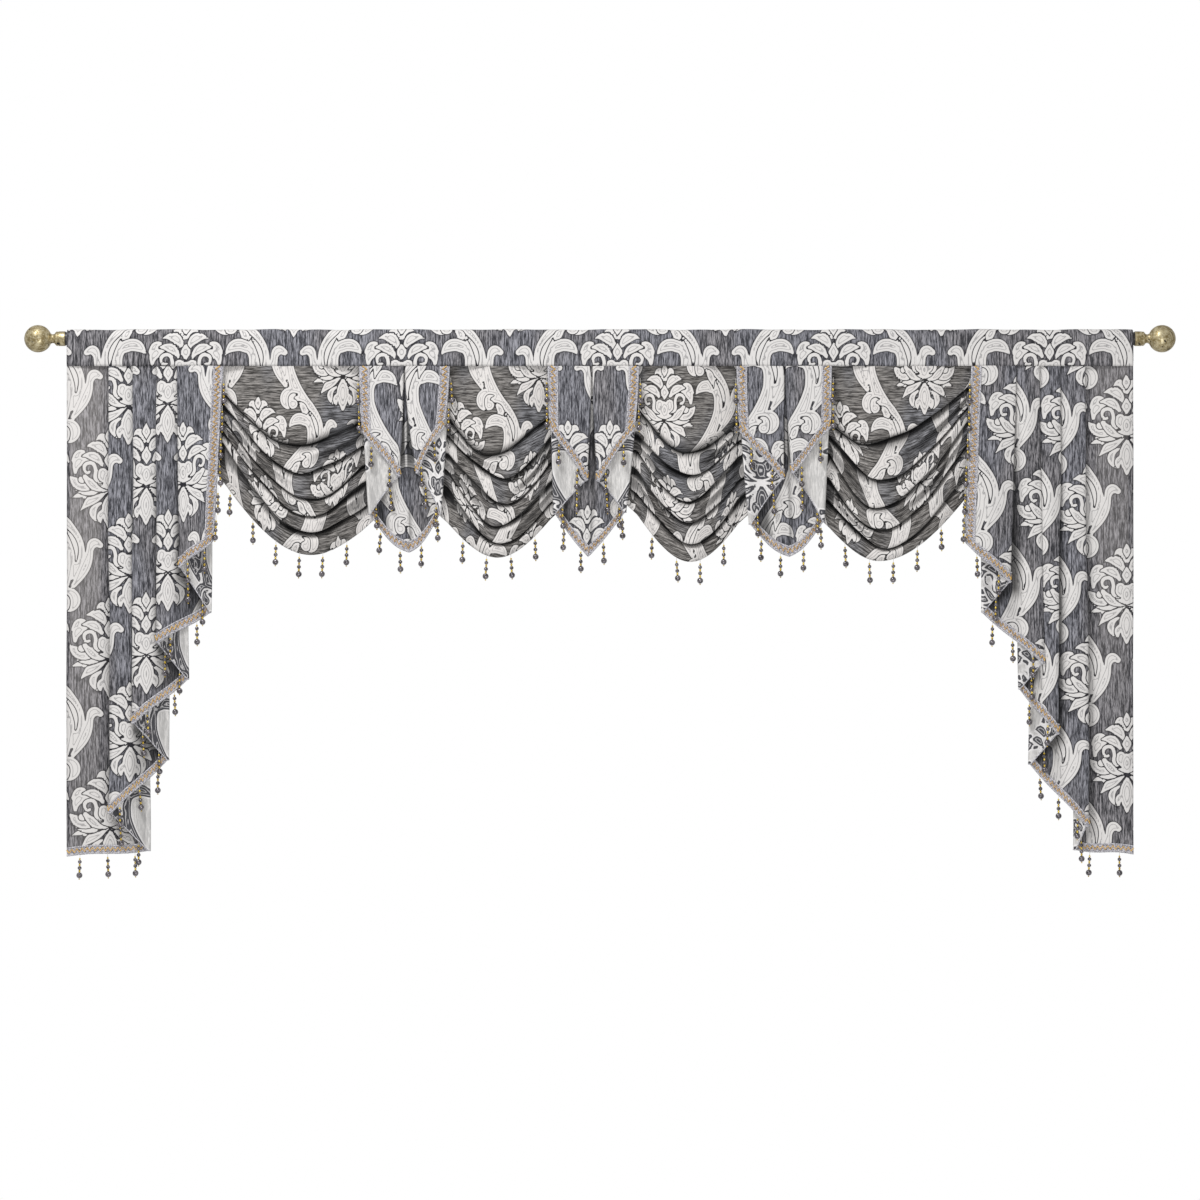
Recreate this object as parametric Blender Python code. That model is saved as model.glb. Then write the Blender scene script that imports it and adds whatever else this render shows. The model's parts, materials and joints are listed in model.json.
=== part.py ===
"""Swag and tail drape on a pole.

A rod-pocket heading on a round pole carries four swags, three jabots between them and a
pleated tail at each end. A braid with hanging bead strings runs along every cut edge.

Metres, +Z up. X runs along the pole and the front faces -Y. The origin is the middle of the
pole's axis.
"""

import math
from collections import namedtuple

import bmesh
import bpy
from mathutils import Vector

MM = 0.001
GAP = 0.3 * MM
TRIM_GAP = 0.5 * MM  # between a cloth and the tape that is sewn on it
STEP = 0.01  # a small step along a panel

# Cloth and trim
CLOTH = 1.5 * MM
TAPE = 1.2 * MM
BRAID_WIDTH = 22 * MM
BRAID_RISE = 23 * MM  # height of a braid that follows a slanting cut
HEM_TAPE_RISE = 8 * MM
STRING_LENGTH = 60 * MM
STRING_SPACING = 66 * MM

# Pole and heading
HALF_WIDTH = 1245 * MM
POLE_RADIUS = 15.5 * MM
POLE_SIDES = 20
SLEEVE_RADIUS = POLE_RADIUS + GAP + CLOTH / 2
SLEEVE_TOP = 20.9 * MM
SEAM_Z = -64.6 * MM
TUCK = 12 * MM  # how far each panel reaches up into the heading
FRONT_Y = -SLEEVE_RADIUS + CLOTH + GAP  # middle of the front layer of cloth at the seam
SEAT_BACK_Y = 1.6 * MM  # middle of a swag's end at the seam, behind tails and jabots
RAMP = 100 * MM  # length over which a swag's top comes forward

# Finials
COLLAR_START = 1250 * MM
COLLAR_END = 1275 * MM
COLLAR_RADIUS = 17.2 * MM
SOCKET_DEPTH = 14 * MM
NECK_RADIUS = 10.2 * MM
BALL_CENTRE = 1314 * MM
BALL_RADIUS = 32 * MM
FINIAL_SIDES = 20

# A row for each fold line or cut corner of a pleated panel, in millimetres, from its first
# edge on: where it is along the pole at the seam and at the cut, how deep the cloth arrives
# and leaves behind the front layer at the seam, and the height of the cut there.
Fold = namedtuple("Fold", "x_seam x_cut arrive leave z_cut")

TAIL_LEFT = (
    Fold(-881, -902, 0.0, 0.0, -471),
    Fold(-988, -981, 0.0, 3.2, -534),
    Fold(-905, -909, 11.0, 14.2, -639),
    Fold(-1035, -1037, 0.0, 3.2, -711),
    Fold(-965, -963, 9.8, 13.0, -795),
    Fold(-1091, -1091, 0.0, 3.2, -898),
    Fold(-1010, -1007, 10.4, 13.6, -984),
    Fold(-1147, -1145, 0.0, 3.2, -1108),
    Fold(-1060, -1054, 11.0, 14.2, -1189),
    Fold(-1245, -1245, 2.0, 2.0, -1199),
)
TAIL_RIGHT = (
    Fold(869, 853, 0.0, 0.0, -475),
    Fold(972, 960, 0.0, 3.2, -569),
    Fold(885, 893, 10.8, 14.0, -639),
    Fold(1026, 1035, 0.0, 3.2, -758),
    Fold(975, 977, 9.0, 12.2, -818),
    Fold(1075, 1071, 0.0, 3.2, -923),
    Fold(1010, 1005, 10.4, 13.6, -994),
    Fold(1133, 1142, 0.0, 3.2, -1138),
    Fold(1100, 1106, 7.0, 10.2, -1190),
    Fold(1245, 1245, 2.0, 2.0, -1198),
)
JABOTS = (
    (
        Fold(-560, -556, 0.0, 0.0, -216),
        Fold(-462, -468, 0.0, 4.2, -322),
        Fold(-556, -541, 4.2, 8.4, -410),
        Fold(-455, -447, 8.4, 8.4, -498),
        Fold(-356, -370, 8.4, 4.2, -409),
        Fold(-452, -429, 4.2, 0.0, -315),
        Fold(-352, -365, 0.0, 0.0, -209),
    ),
    (
        Fold(-120, -118, 0.0, 0.0, -205),
        Fold(-24, -30, 0.0, 4.2, -331),
        Fold(-116, -109, 4.2, 8.4, -408),
        Fold(-18, -28, 8.4, 8.4, -508),
        Fold(86, 62, 8.4, 4.2, -405),
        Fold(-14, -7, 4.2, 0.0, -333),
        Fold(90, 80, 0.0, 0.0, -214),
    ),
    (
        Fold(321, 326, 0.0, 0.0, -216),
        Fold(427, 429, 0.0, 4.2, -328),
        Fold(325, 348, 4.2, 8.4, -433),
        Fold(434, 442, 8.4, 8.4, -508),
        Fold(536, 526, 8.4, 4.2, -427),
        Fold(437, 447, 4.2, 0.0, -315),
        Fold(540, 538, 0.0, 0.0, -208),
    ),
)
TAIL_SPREAD = 1.95  # how much wider apart the layers hang, per metre of drop
JABOT_SPREAD = 3.0
PANEL_LEAN = 8 * MM  # how far the front layer swings forward, per metre of drop
BACK_LEAN = 21 * MM  # how far a swag's end stands back, per metre of drop

# A row for each fold line of a swag and a last one for its hem, in millimetres: its height at
# the swag's left side, its lowest point, and its height at the right side.
Sag = namedtuple("Sag", "z_left x_low z_low z_right")
# The sides where the neighbours' edges are at the seam, how far the panel reaches behind
# each of them, and its sags.
Swag = namedtuple("Swag", "x_left x_right behind sags")

SWAGS = (
    Swag(-897, -558, 45, (
        Sag(-102, -722, -249, -193),
        Sag(-130, -699, -310, -247),
        Sag(-163, -671, -377, -298),
        Sag(-188, -673, -412, -338),
        Sag(-222, -676, -452, -390),
        Sag(-293, -673, -506, -436),
    )),
    Swag(-354, -118, 45, (
        Sag(-186, -263, -272, -180),
        Sag(-222, -218, -324, -226),
        Sag(-268, -216, -384, -290),
        Sag(-307, -239, -437, -335),
        Sag(-345, -232, -480, -380),
        Sag(-433, -239, -512, -424),
    )),
    Swag(88, 323, 45, (
        Sag(-160, 204, -268, -195),
        Sag(-222, 207, -317, -235),
        Sag(-262, 200, -378, -276),
        Sag(-306, 207, -428, -326),
        Sag(-356, 216, -478, -375),
        Sag(-412, 211, -522, -433),
    )),
    Swag(538, 885, 45, (
        Sag(-190, 617, -247, -90),
        Sag(-224, 655, -328, -125),
        Sag(-268, 643, -395, -155),
        Sag(-326, 643, -447, -205),
        Sag(-378, 671, -487, -268),
        Sag(-443, 650, -520, -335),
    )),
)
HIDDEN_RISE = 0.9  # slope of a swag's hem behind its neighbours
# How far each fold of a swag stands forward in its middle, and the hem last.
SWAG_FORWARD = (12, 20, 27, 31, 31, 24)


def clear_scene():
    for old in list(bpy.data.objects):
        bpy.data.objects.remove(old, do_unlink=True)


def finish(name, colour, roughness, metallic=0.0):
    """A plain Principled material."""
    material = bpy.data.materials.new(name)
    material.use_nodes = True
    shader = material.node_tree.nodes["Principled BSDF"]
    shader.inputs["Base Color"].default_value = (*colour, 1.0)
    shader.inputs["Roughness"].default_value = roughness
    shader.inputs["Metallic"].default_value = metallic
    return material


def add_object(name, bm, material):
    """Makes the bmesh an object of the scene."""
    mesh = bpy.data.meshes.new(name)
    bm.to_mesh(mesh)
    bm.free()
    mesh.materials.append(material)
    part = bpy.data.objects.new(name, mesh)
    bpy.context.scene.collection.objects.link(part)
    return part


def face_outwards(bm):
    """Turns all faces of a closed shape out."""
    bmesh.ops.recalc_face_normals(bm, faces=bm.faces[:])
    if bm.calc_volume(signed=True) < 0:
        bmesh.ops.reverse_faces(bm, faces=bm.faces[:])


def mix(a, b, t):
    return a + (b - a) * t


def ramp(t):
    return min(1.0, max(0.0, t))


# ---------------------------------------------------------------- sheets


def grid_faces(bm, columns):
    """Quads between neighbouring columns of vertices."""
    for left, right in zip(columns, columns[1:]):
        for row in range(len(left) - 1):
            bm.faces.new((left[row], right[row], right[row + 1], left[row + 1]))


def sheet(name, columns, material):
    """A sheet of cloth, CLOTH thick, whose middle passes through the columns of points."""
    bm = bmesh.new()
    grid_faces(bm, [[bm.verts.new(point) for point in column] for column in columns])
    part = add_object(name, bm, material)
    thick = part.modifiers.new("Thickness", "SOLIDIFY")
    thick.thickness = CLOTH
    thick.offset = 0.0
    thick.use_even_offset = True
    return part


# ---------------------------------------------------------------- pleated panels
# A place along a pleated panel is one number: run i, from fold i to fold i+1, is 2i to 2i+1,
# and the turn at fold i+1 is 2i+1 to 2i+2.


class Panel:
    """A panel folded back and forth, each fold line straight from the seam to the cut."""

    def __init__(self, folds, spread):
        self.folds = [Fold(*(value * MM for value in fold)) for fold in folds]
        self.spread = spread
        self.last = 2 * len(folds) - 3
        self.hand = 1 if self.folds[1].x_cut > self.folds[0].x_cut else -1

    def depth(self, layer, z):
        """Y of a layer at height z."""
        drop = max(0.0, SEAM_Z - z)
        return FRONT_Y - PANEL_LEAN * drop + layer * (1 + self.spread * drop)

    def line(self, index, z):
        """X of a fold line at height z."""
        fold = self.folds[index]
        return mix(fold.x_seam, fold.x_cut, (z - SEAM_Z) / (fold.z_cut - SEAM_Z))

    def turn_radius(self, index, z):
        fold = self.folds[index]
        return abs(self.depth(fold.leave, z) - self.depth(fold.arrive, z)) / 2

    def side(self, index):
        """+1 where the fold is the right end of its run, -1 where it is the left end."""
        beside = self.folds[index - 1] if index else self.folds[1]
        return 1 if self.folds[index].x_cut > beside.x_cut else -1

    def centre(self, index, z):
        return self.line(index, z) - self.side(index) * self.turn_radius(index, z)

    def plan(self, place, z):
        """X and Y of a place at height z."""
        step = min(int(place), self.last)
        part = place - step
        index = (step + 1) // 2
        if step % 2:
            turn = self.folds[index]
            radius = self.turn_radius(index, z)
            x = self.centre(index, z) + self.side(index) * radius * math.sin(math.pi * part)
            across = (1 - math.cos(math.pi * part)) / 2
            return x, mix(self.depth(turn.arrive, z), self.depth(turn.leave, z), across)
        start, end = self.folds[index], self.folds[index + 1]
        x = mix(self.centre(index, z), self.centre(index + 1, z), part)
        return x, mix(self.depth(start.leave, z), self.depth(end.arrive, z), part)

    def cut(self, place):
        """Height of the cut edge at a place."""
        step = min(int(place), self.last)
        index = (step + 1) // 2
        if step % 2:
            return self.folds[index].z_cut
        return mix(self.folds[index].z_cut, self.folds[index + 1].z_cut, place - step)

    def facing(self, start, end, z):
        """Where the right side faces between two places."""
        x0, y0 = self.plan(max(0.0, start), z)
        x1, y1 = self.plan(min(end, self.last), z)
        return self.hand * Vector((y1 - y0, x0 - x1, 0)).normalized()

    def bends_out(self, index):
        """+1 where the right side is outside the turn, -1 inside, 0 at a plain corner."""
        fold = self.folds[index]
        deeper = (fold.leave > fold.arrive) - (fold.leave < fold.arrive)
        return self.hand * self.side(index) * deeper

    def outward(self, place, z):
        """Normal on the right side, longer at a corner, so that an offset keeps its distance."""
        before = after = STEP
        index = math.ceil(place / 2)
        if 0 < place < self.last and place >= 2 * index - 1:
            starts, ends = place == 2 * index - 1, place == 2 * index
            if self.bends_out(index):
                before, after = (STEP if starts else 0.5), (STEP if ends else 0.5)
            else:
                after = 1 + STEP
        both = [self.facing(place - before, place, z)] if before and place > 0 else []
        both += [self.facing(place, place + after, z)] if after and place < self.last else []
        normal = sum(both, Vector()) / len(both)
        return normal / normal.length_squared

    def point(self, place, z, offset=0.0):
        """A point of the cloth's middle, or one that stands out from it on its right side."""
        point = Vector((*self.plan(place, z), z))
        return point + self.outward(place, z) * offset if offset else point

    def places(self, parts=1, shy=0.0):
        """Places of the fold lines, of each turn's middle, and between them along each run.

        With shy, they stop that share of a run short of each turn that folds the right side in.
        """
        found = [part / parts for part in range(parts + 1)]
        for index in range(1, len(self.folds) - 1):
            turn = 2 * index - 1
            bend = self.bends_out(index)
            inside = shy if bend < 0 else 0.0
            if inside:
                found[-1] -= inside
            elif bend:
                found.append(turn + 0.5)
            found += [turn + 1 + part / parts for part in range(parts + 1) if bend or part]
            if inside:
                found[-1 - parts] += inside
        return found

    def run_length(self, index):
        """Length of the cut along a run."""
        start, end = self.folds[index], self.folds[index + 1]
        return math.hypot(end.x_cut - start.x_cut, end.z_cut - start.z_cut)


def pleated_panel(name, panel, material, rows, parts):
    """The cloth of a panel, in rows down to the braid and in parts along each run."""
    columns = []
    for place in panel.places(parts):
        cut = panel.cut(place)
        braid_top = cut + BRAID_RISE
        heights = [mix(SEAM_Z, braid_top, row / rows) for row in range(rows + 1)]
        columns.append([panel.point(place, z) for z in [SEAM_Z + TUCK, *heights, cut]])
    if panel.hand < 0:
        columns.reverse()
    return sheet(name, columns, material)


# ---------------------------------------------------------------- fringes


def hang_string(bm, root, outward):
    """Draws a bead string out of a rim face: an elbow on an upright edge, then the drop."""
    centre = root.calc_center_median()
    forward = Vector((0, -3.0 * MM, 0))
    across = sorted(root.verts, key=lambda v: v.co.z * outward if outward else v.co.x)
    signs = {}
    for right, pair in ((-1, across[:2]), (1, across[2:])):
        front, back = sorted(pair, key=lambda v: v.co.y)
        signs[front], signs[back] = (right, -1), (right, 1)
    rings = [(0.55, 4.6 * MM, 3.0 * MM), (1.0, 6.2 * MM, 3.0 * MM)]
    if outward:
        rings.insert(0, (0.06, 1.6 * MM, 1.2 * MM))
    face = root
    for drop, half_width, half_depth in rings:
        below = centre + forward - Vector((0, 0, drop * STRING_LENGTH))
        below.x += outward * 4.5 * MM
        known = {vert.co.to_tuple(6): sign for vert, sign in signs.items()}
        face = bmesh.ops.extrude_discrete_faces(bm, faces=[face])["faces"][0]
        signs = {vert: known[vert.co.to_tuple(6)] for vert in face.verts}
        for vert, (right, back) in signs.items():
            vert.co = below + Vector((right * half_width, back * half_depth, 0))


def rim_face(bm, point):
    """The small face of the tape's rim that is nearest to a point."""
    return min(bm.faces, key=lambda face: (face.calc_center_median() - point).length_squared)


def comb(name, strips, roots, material):
    """A tape, TAPE thick behind the strips of points, with a string at each root."""
    bm = bmesh.new()
    made = {}

    def vertex(point):
        key = point.to_tuple(6)
        if key not in made:
            made[key] = bm.verts.new(point)
        return made[key]

    for strip in strips:
        grid_faces(bm, [[vertex(point) for point in column] for column in strip])
    bm.normal_update()
    bmesh.ops.solidify(bm, geom=bm.faces[:], thickness=TAPE)
    found = [(rim_face(bm, point), outward) for point, outward in roots]
    for root, outward in found:
        hang_string(bm, root, outward)
    face_outwards(bm)
    return add_object(name, bm, material)


HALF_ROOT = 2 * MM


def spread_evenly(count):
    return [(number + 0.5) / count for number in range(count)]


def clear_of(stations, x):
    """The place nearest to x where a root doesn't reach a column of the cloth."""
    nearest = min(stations, key=lambda station: abs(station - x))
    room = 2 * HALF_ROOT
    if abs(x - nearest) >= room:
        return x
    return nearest + (room if x > nearest else -room)


def panel_fringe(name, panel, edges, material):
    """The braid of a pleated panel: along its cut, and up its free edges.

    edges holds the ends of the panel, 0 or panel.last, that have an upright braid.
    """
    face, middle = CLOTH / 2 + TRIM_GAP + TAPE, CLOTH / 2 + TRIM_GAP + TAPE / 2
    upright = {}
    for edge in edges:
        run = 0 if edge == 0 else len(panel.folds) - 2
        share = BRAID_WIDTH / abs(panel.folds[run + 1].x_cut - panel.folds[run].x_cut)
        upright[edge] = share if edge == 0 else edge - share
    stations = set(panel.places(shy=0.05)) | set(upright.values())
    roots = []
    for run in range(len(panel.folds) - 1):
        length = panel.run_length(run)
        for part in spread_evenly(max(1, round(length / STRING_SPACING))):
            place = 2 * run + part
            half = HALF_ROOT / length
            stations |= {place - half, place + half}
            roots.append((panel.point(place, panel.cut(place), middle), 0))
    stations = sorted(stations)

    def column(place, heights):
        return [panel.point(place, z, face) for z in heights]

    cut_strip = []
    for place in stations:
        cut = panel.cut(place)
        cut_strip.append(column(place, (cut, cut + BRAID_RISE)))
    strips = [cut_strip if panel.hand > 0 else cut_strip[::-1]]
    for edge, inner in upright.items():
        sideways = panel.side(1) * -1 if edge == 0 else panel.side(len(panel.folds) - 1)
        low = panel.cut(edge) + BRAID_RISE
        top = SEAM_Z - 2 * GAP
        count = round((top - low) / (STRING_SPACING + 20 * MM))
        marks = [mix(top, low, part) for part in spread_evenly(count)]
        heights = [low]
        for mark in reversed(marks):
            heights += [mark - HALF_ROOT, mark + HALF_ROOT]
            roots.append((panel.point(edge, mark, middle), sideways))
        heights.append(top)
        inner_heights = [panel.cut(inner) + BRAID_RISE] + heights[1:]
        between = [s for s in stations if min(edge, inner) <= s <= max(edge, inner)]
        strip = []
        for place in between:
            base = heights if place == edge else inner_heights
            first = panel.cut(place) + BRAID_RISE
            strip.append(column(place, [first] + base[1:]))
        strips.append(strip if panel.hand > 0 else strip[::-1])
    return comb(name, strips, roots, material)


# ---------------------------------------------------------------- swags


def swag_share(swag, x):
    """How far the swag has come forward at x: 0 behind its neighbours, 1 past the ramps."""
    return ramp(min(x - swag.x_left * MM, swag.x_right * MM - x) / RAMP)


def swell(swag, x):
    """How full the folds are at x: 0 at the sides, 1 in the middle."""
    across = ramp((x / MM - swag.x_left) / (swag.x_right - swag.x_left))
    return 4 * across * (1 - across)


def sag_height(swag, index, x):
    """Height of a fold line at x; behind the neighbours the lower lines go on rising."""
    sag = swag.sags[index]
    on_left = x / MM < sag.x_low
    side_x, side_z = (swag.x_left, sag.z_left) if on_left else (swag.x_right, sag.z_right)
    reach = abs(x / MM - sag.x_low) / abs(side_x - sag.x_low)
    beyond = max(0.0, reach - 1) * abs(side_x - sag.x_low)
    rise = HIDDEN_RISE * beyond * index / (len(swag.sags) - 1)
    return MM * (mix(sag.z_low, side_z, min(1.0, reach) ** 2) + rise)


def swag_base(swag, x, z):
    """Y of the swag before its folds stand forward."""
    back = SEAT_BACK_Y + BACK_LEAN * max(0.0, SEAM_Z - z)
    return mix(back, FRONT_Y, swag_share(swag, x))


def swag_column(swag, x):
    """Points down the swag at x: flat top, then belly, tip, tuck and shoulder of each fold."""
    full = swell(swag, x)
    heights = [sag_height(swag, index, x) for index in range(len(swag.sags))]
    forward = [MM * out * full for out in SWAG_FORWARD]
    fold_depth = (6 + 10 * full) * MM

    def point(y_out, z):
        return Vector((x, swag_base(swag, x, z) + y_out, z))

    above = SEAM_Z
    points = [point(0, SEAM_Z + TUCK), point(0, SEAM_Z)]
    points.append(point(-forward[0] * 0.6, mix(SEAM_Z, heights[0], 0.55)))
    for index, z in enumerate(heights[:-1]):
        room = above - z
        under = z - heights[index + 1]
        tuck = min(0.45 * room, 0.45 * under, (5 + 9 * full) * MM)
        out = -forward[index]
        points.append(point(out, z + min(0.35 * room, 9 * MM)))
        points.append(point(out + 0.3 * fold_depth, z))
        points.append(point(out + fold_depth, z + tuck))
        points.append(point(mix(out + fold_depth, -forward[index + 1], 0.3), z - 0.3 * under))
        above = z
    points.append(point(-forward[-1], mix(heights[-2], heights[-1], 0.55)))
    points.append(point(-forward[-1] + 2 * MM, heights[-1]))
    return points


def swag_stations(swag):
    """X of the swag's columns: its ends, both ramps and the front between them."""
    left, right = swag.x_left * MM, swag.x_right * MM
    behind = swag.behind * MM
    inner = [left + RAMP * part for part in (0, 0.35, 0.7, 1)]
    outer = [right - RAMP * part for part in (1, 0.7, 0.35, 0)]
    middle_count = max(1, round((outer[0] - inner[-1]) / (35 * MM)) - 1)
    middle = [mix(inner[-1], outer[0], (k + 1) / (middle_count + 1)) for k in range(middle_count)]
    return [left - behind] + inner + middle + outer + [right + behind]


def swag_fringe(name, swag, material):
    """A narrow tape behind the hem with its bead strings."""
    stations = swag_stations(swag)
    hems = {x: swag_column(swag, x) for x in stations}

    def hem_point(x, z_up):
        """A point behind the hem, between the two columns that x lies between."""
        right = next(index for index, station in enumerate(stations) if x <= station + 1e-9)
        right = max(1, right)
        x0, x1 = stations[right - 1], stations[right]
        part = (x - x0) / (x1 - x0)
        low = hems[x0][-1].lerp(hems[x1][-1], part)
        high = hems[x0][-2].lerp(hems[x1][-2], part)
        place = low.lerp(high, z_up / (high.z - low.z))
        back = CLOTH / 2 + TRIM_GAP
        return Vector((place.x, place.y + back, place.z))

    first, last = stations[1] + 6 * MM, stations[-2] - 6 * MM
    length = last - first
    marks, roots = [], []
    for part in spread_evenly(max(1, round(length / (STRING_SPACING - 12 * MM)))):
        x = clear_of(stations, mix(first, last, part))
        marks += [x - HALF_ROOT, x + HALF_ROOT]
        roots.append((hem_point(x, 0.0) + Vector((0, TAPE / 2, 0)), 0))
    xs = sorted(marks + [first, last] + [x for x in stations if first < x < last])
    strip = [[hem_point(x, 0.0), hem_point(x, HEM_TAPE_RISE)] for x in xs]
    return comb(name, [strip], roots, material)


# ---------------------------------------------------------------- heading, pole and finials


def back_lip(x):
    """Y of the heading's back layer at the seam: just behind what is tucked in there."""
    shares = [swag_share(swag, x) for swag in SWAGS]
    return mix(SEAT_BACK_Y, FRONT_Y, max(shares)) + CLOTH + 2 * GAP


def heading_section(x):
    """Points round the sleeve at x, from the front lip over the pole to the back lip."""
    lean = math.acos(SLEEVE_RADIUS / SLEEVE_TOP)
    step = (math.pi / 2 - lean) / 3
    outer = SLEEVE_RADIUS / math.cos(step / 2)
    arc = [(SLEEVE_RADIUS, lean), (outer, lean + step), (outer, lean + 2 * step)]
    arc.append((SLEEVE_RADIUS, math.pi / 2))
    side = [(radius * math.sin(angle), radius * math.cos(angle)) for radius, angle in arc]
    front = [(-y, z) for y, z in reversed(side)]
    lip = back_lip(x)
    back = [(SLEEVE_RADIUS, -5 * MM), (lip, SEAM_Z + TUCK), (lip, SEAM_Z)]
    return [(-SLEEVE_RADIUS, SEAM_Z), *front, (0.0, SLEEVE_TOP), *side, *back]


def heading(material):
    stations = {-HALF_WIDTH, HALF_WIDTH}
    for swag in SWAGS:
        left, right = swag.x_left * MM, swag.x_right * MM
        stations |= {left, left + RAMP, right - RAMP, right}
    columns = []
    for x in sorted(stations):
        columns.append([Vector((x, y, z)) for y, z in reversed(heading_section(x))])
    return sheet("heading", columns, material)


def turned(name, outline, sides, material, mirror=1):
    """A solid turned about the pole's axis from (x, radius) points."""
    bm = bmesh.new()
    verts = [bm.verts.new((mirror * x, 0.0, radius)) for x, radius in outline]
    edges = [bm.edges.new(pair) for pair in zip(verts, verts[1:])]
    bmesh.ops.spin(
        bm,
        geom=verts + edges,
        cent=(0, 0, 0),
        axis=(1, 0, 0),
        angle=2 * math.pi,
        steps=sides,
        use_merge=True,
    )
    bmesh.ops.remove_doubles(bm, verts=bm.verts[:], dist=0.01 * MM)
    face_outwards(bm)
    part = add_object(name, bm, material)
    part.data.shade_smooth()
    part.data.set_sharp_from_angle(angle=math.radians(40))
    return part


def pole(material):
    end = COLLAR_START + SOCKET_DEPTH - 2 * MM
    outline = [(-end, 0), (-end, POLE_RADIUS), (end, POLE_RADIUS), (end, 0)]
    return turned("pole", outline, POLE_SIDES, material)


def finial(name, mirror, material):
    """Collar with a socket for the pole, a groove, a neck and a ball."""
    socket = POLE_RADIUS + GAP
    outline = [
        (COLLAR_START + SOCKET_DEPTH, 0),
        (COLLAR_START + SOCKET_DEPTH, socket),
        (COLLAR_START, socket),
        (COLLAR_START, COLLAR_RADIUS),
        (COLLAR_START + 16 * MM, COLLAR_RADIUS),
        (COLLAR_START + 17.5 * MM, COLLAR_RADIUS - 1.2 * MM),
        (COLLAR_START + 19 * MM, COLLAR_RADIUS - 0.3 * MM),
        (COLLAR_END - 2 * MM, COLLAR_RADIUS - 3 * MM),
        (COLLAR_END, NECK_RADIUS + 1 * MM),
        (COLLAR_END + 4 * MM, NECK_RADIUS),
    ]
    start = math.asin((NECK_RADIUS + 0.8 * MM) / BALL_RADIUS)
    for step in range(9):
        angle = mix(start, math.pi, step / 8)
        radius = 0.0 if step == 8 else BALL_RADIUS * math.sin(angle)
        outline.append((BALL_CENTRE - BALL_RADIUS * math.cos(angle), radius))
    return turned(name, outline, FINIAL_SIDES, material, mirror)


def main():
    clear_scene()
    damask = finish("damask", (0.42, 0.41, 0.43), 0.75)
    heading_damask = finish("heading damask", (0.46, 0.45, 0.47), 0.75)
    swag_damask = finish("swag damask", (0.36, 0.34, 0.33), 0.7)
    braid = finish("gimp braid", (0.62, 0.58, 0.52), 0.6)
    antique_gold = finish("antique gold", (0.45, 0.37, 0.20), 0.4, 0.8)
    dark_pole = finish("dark pole", (0.05, 0.04, 0.04), 0.4)

    pole(dark_pole)
    finial("finial_left", -1, antique_gold)
    finial("finial_right", 1, antique_gold)
    heading(heading_damask)
    for name, folds in (("left", TAIL_LEFT), ("right", TAIL_RIGHT)):
        panel = Panel(folds, TAIL_SPREAD)
        pleated_panel(f"tail_{name}", panel, damask, rows=4, parts=3)
        panel_fringe(f"tail_fringe_{name}", panel, [0], braid)
    for number, folds in enumerate(JABOTS, 1):
        panel = Panel(folds, JABOT_SPREAD)
        pleated_panel(f"jabot_{number}", panel, damask, rows=3, parts=2)
        panel_fringe(f"jabot_fringe_{number}", panel, [0, panel.last], braid)
    for number, swag in enumerate(SWAGS, 1):
        columns = [swag_column(swag, x)[::-1] for x in swag_stations(swag)]
        sheet(f"swag_{number}", columns, swag_damask)
        swag_fringe(f"swag_fringe_{number}", swag, braid)


main()
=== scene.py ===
# %% [markdown]
# # A swag and tail drape on a pole
#
# A sleeve of damask carries four swags, three jabots and two tails. This lesson cuts each
# piece of cloth as a flat grid, moves it onto its folds, draws the damask on it, and then
# adds the braid, the bead strings and the finials. All sizes are in metres, with +Z up and
# the front towards -Y.

# %% Load the frame
import json
import math
from collections import namedtuple
from functools import partial

import bpy
import numpy as np
from mathutils import Matrix, Vector

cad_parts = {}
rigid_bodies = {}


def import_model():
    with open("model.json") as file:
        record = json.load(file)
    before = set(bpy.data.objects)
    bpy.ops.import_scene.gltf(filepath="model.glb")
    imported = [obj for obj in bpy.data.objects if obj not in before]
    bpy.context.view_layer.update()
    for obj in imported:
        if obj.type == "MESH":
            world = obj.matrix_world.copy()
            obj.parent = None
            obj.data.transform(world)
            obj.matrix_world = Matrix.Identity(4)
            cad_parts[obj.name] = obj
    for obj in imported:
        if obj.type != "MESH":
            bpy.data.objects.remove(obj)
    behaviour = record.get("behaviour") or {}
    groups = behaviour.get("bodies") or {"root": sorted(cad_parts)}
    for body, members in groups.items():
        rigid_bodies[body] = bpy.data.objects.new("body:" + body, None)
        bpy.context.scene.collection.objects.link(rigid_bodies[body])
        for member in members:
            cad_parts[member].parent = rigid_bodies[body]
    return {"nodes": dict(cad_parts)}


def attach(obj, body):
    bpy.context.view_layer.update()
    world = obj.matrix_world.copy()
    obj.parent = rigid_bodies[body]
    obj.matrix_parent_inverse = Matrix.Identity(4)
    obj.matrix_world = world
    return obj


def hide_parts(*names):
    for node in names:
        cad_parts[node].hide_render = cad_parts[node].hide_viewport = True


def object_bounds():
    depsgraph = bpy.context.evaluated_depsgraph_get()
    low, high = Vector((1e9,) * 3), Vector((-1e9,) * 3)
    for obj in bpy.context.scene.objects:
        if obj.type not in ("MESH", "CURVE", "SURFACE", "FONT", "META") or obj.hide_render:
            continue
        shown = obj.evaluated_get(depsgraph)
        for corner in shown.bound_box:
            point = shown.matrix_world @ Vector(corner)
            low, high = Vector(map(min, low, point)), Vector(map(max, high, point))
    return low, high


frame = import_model()
cad_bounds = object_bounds()
MM = 0.001
print("nodes:", len(frame["nodes"]), "box:", cad_bounds)

# %% [markdown]
# ## Small helpers for nodes
#
# Every finish is a few nodes. These helpers add a node with its values and links in one
# line, so that each material below reads from its coordinates to its shader.

# %% Node helpers


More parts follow.
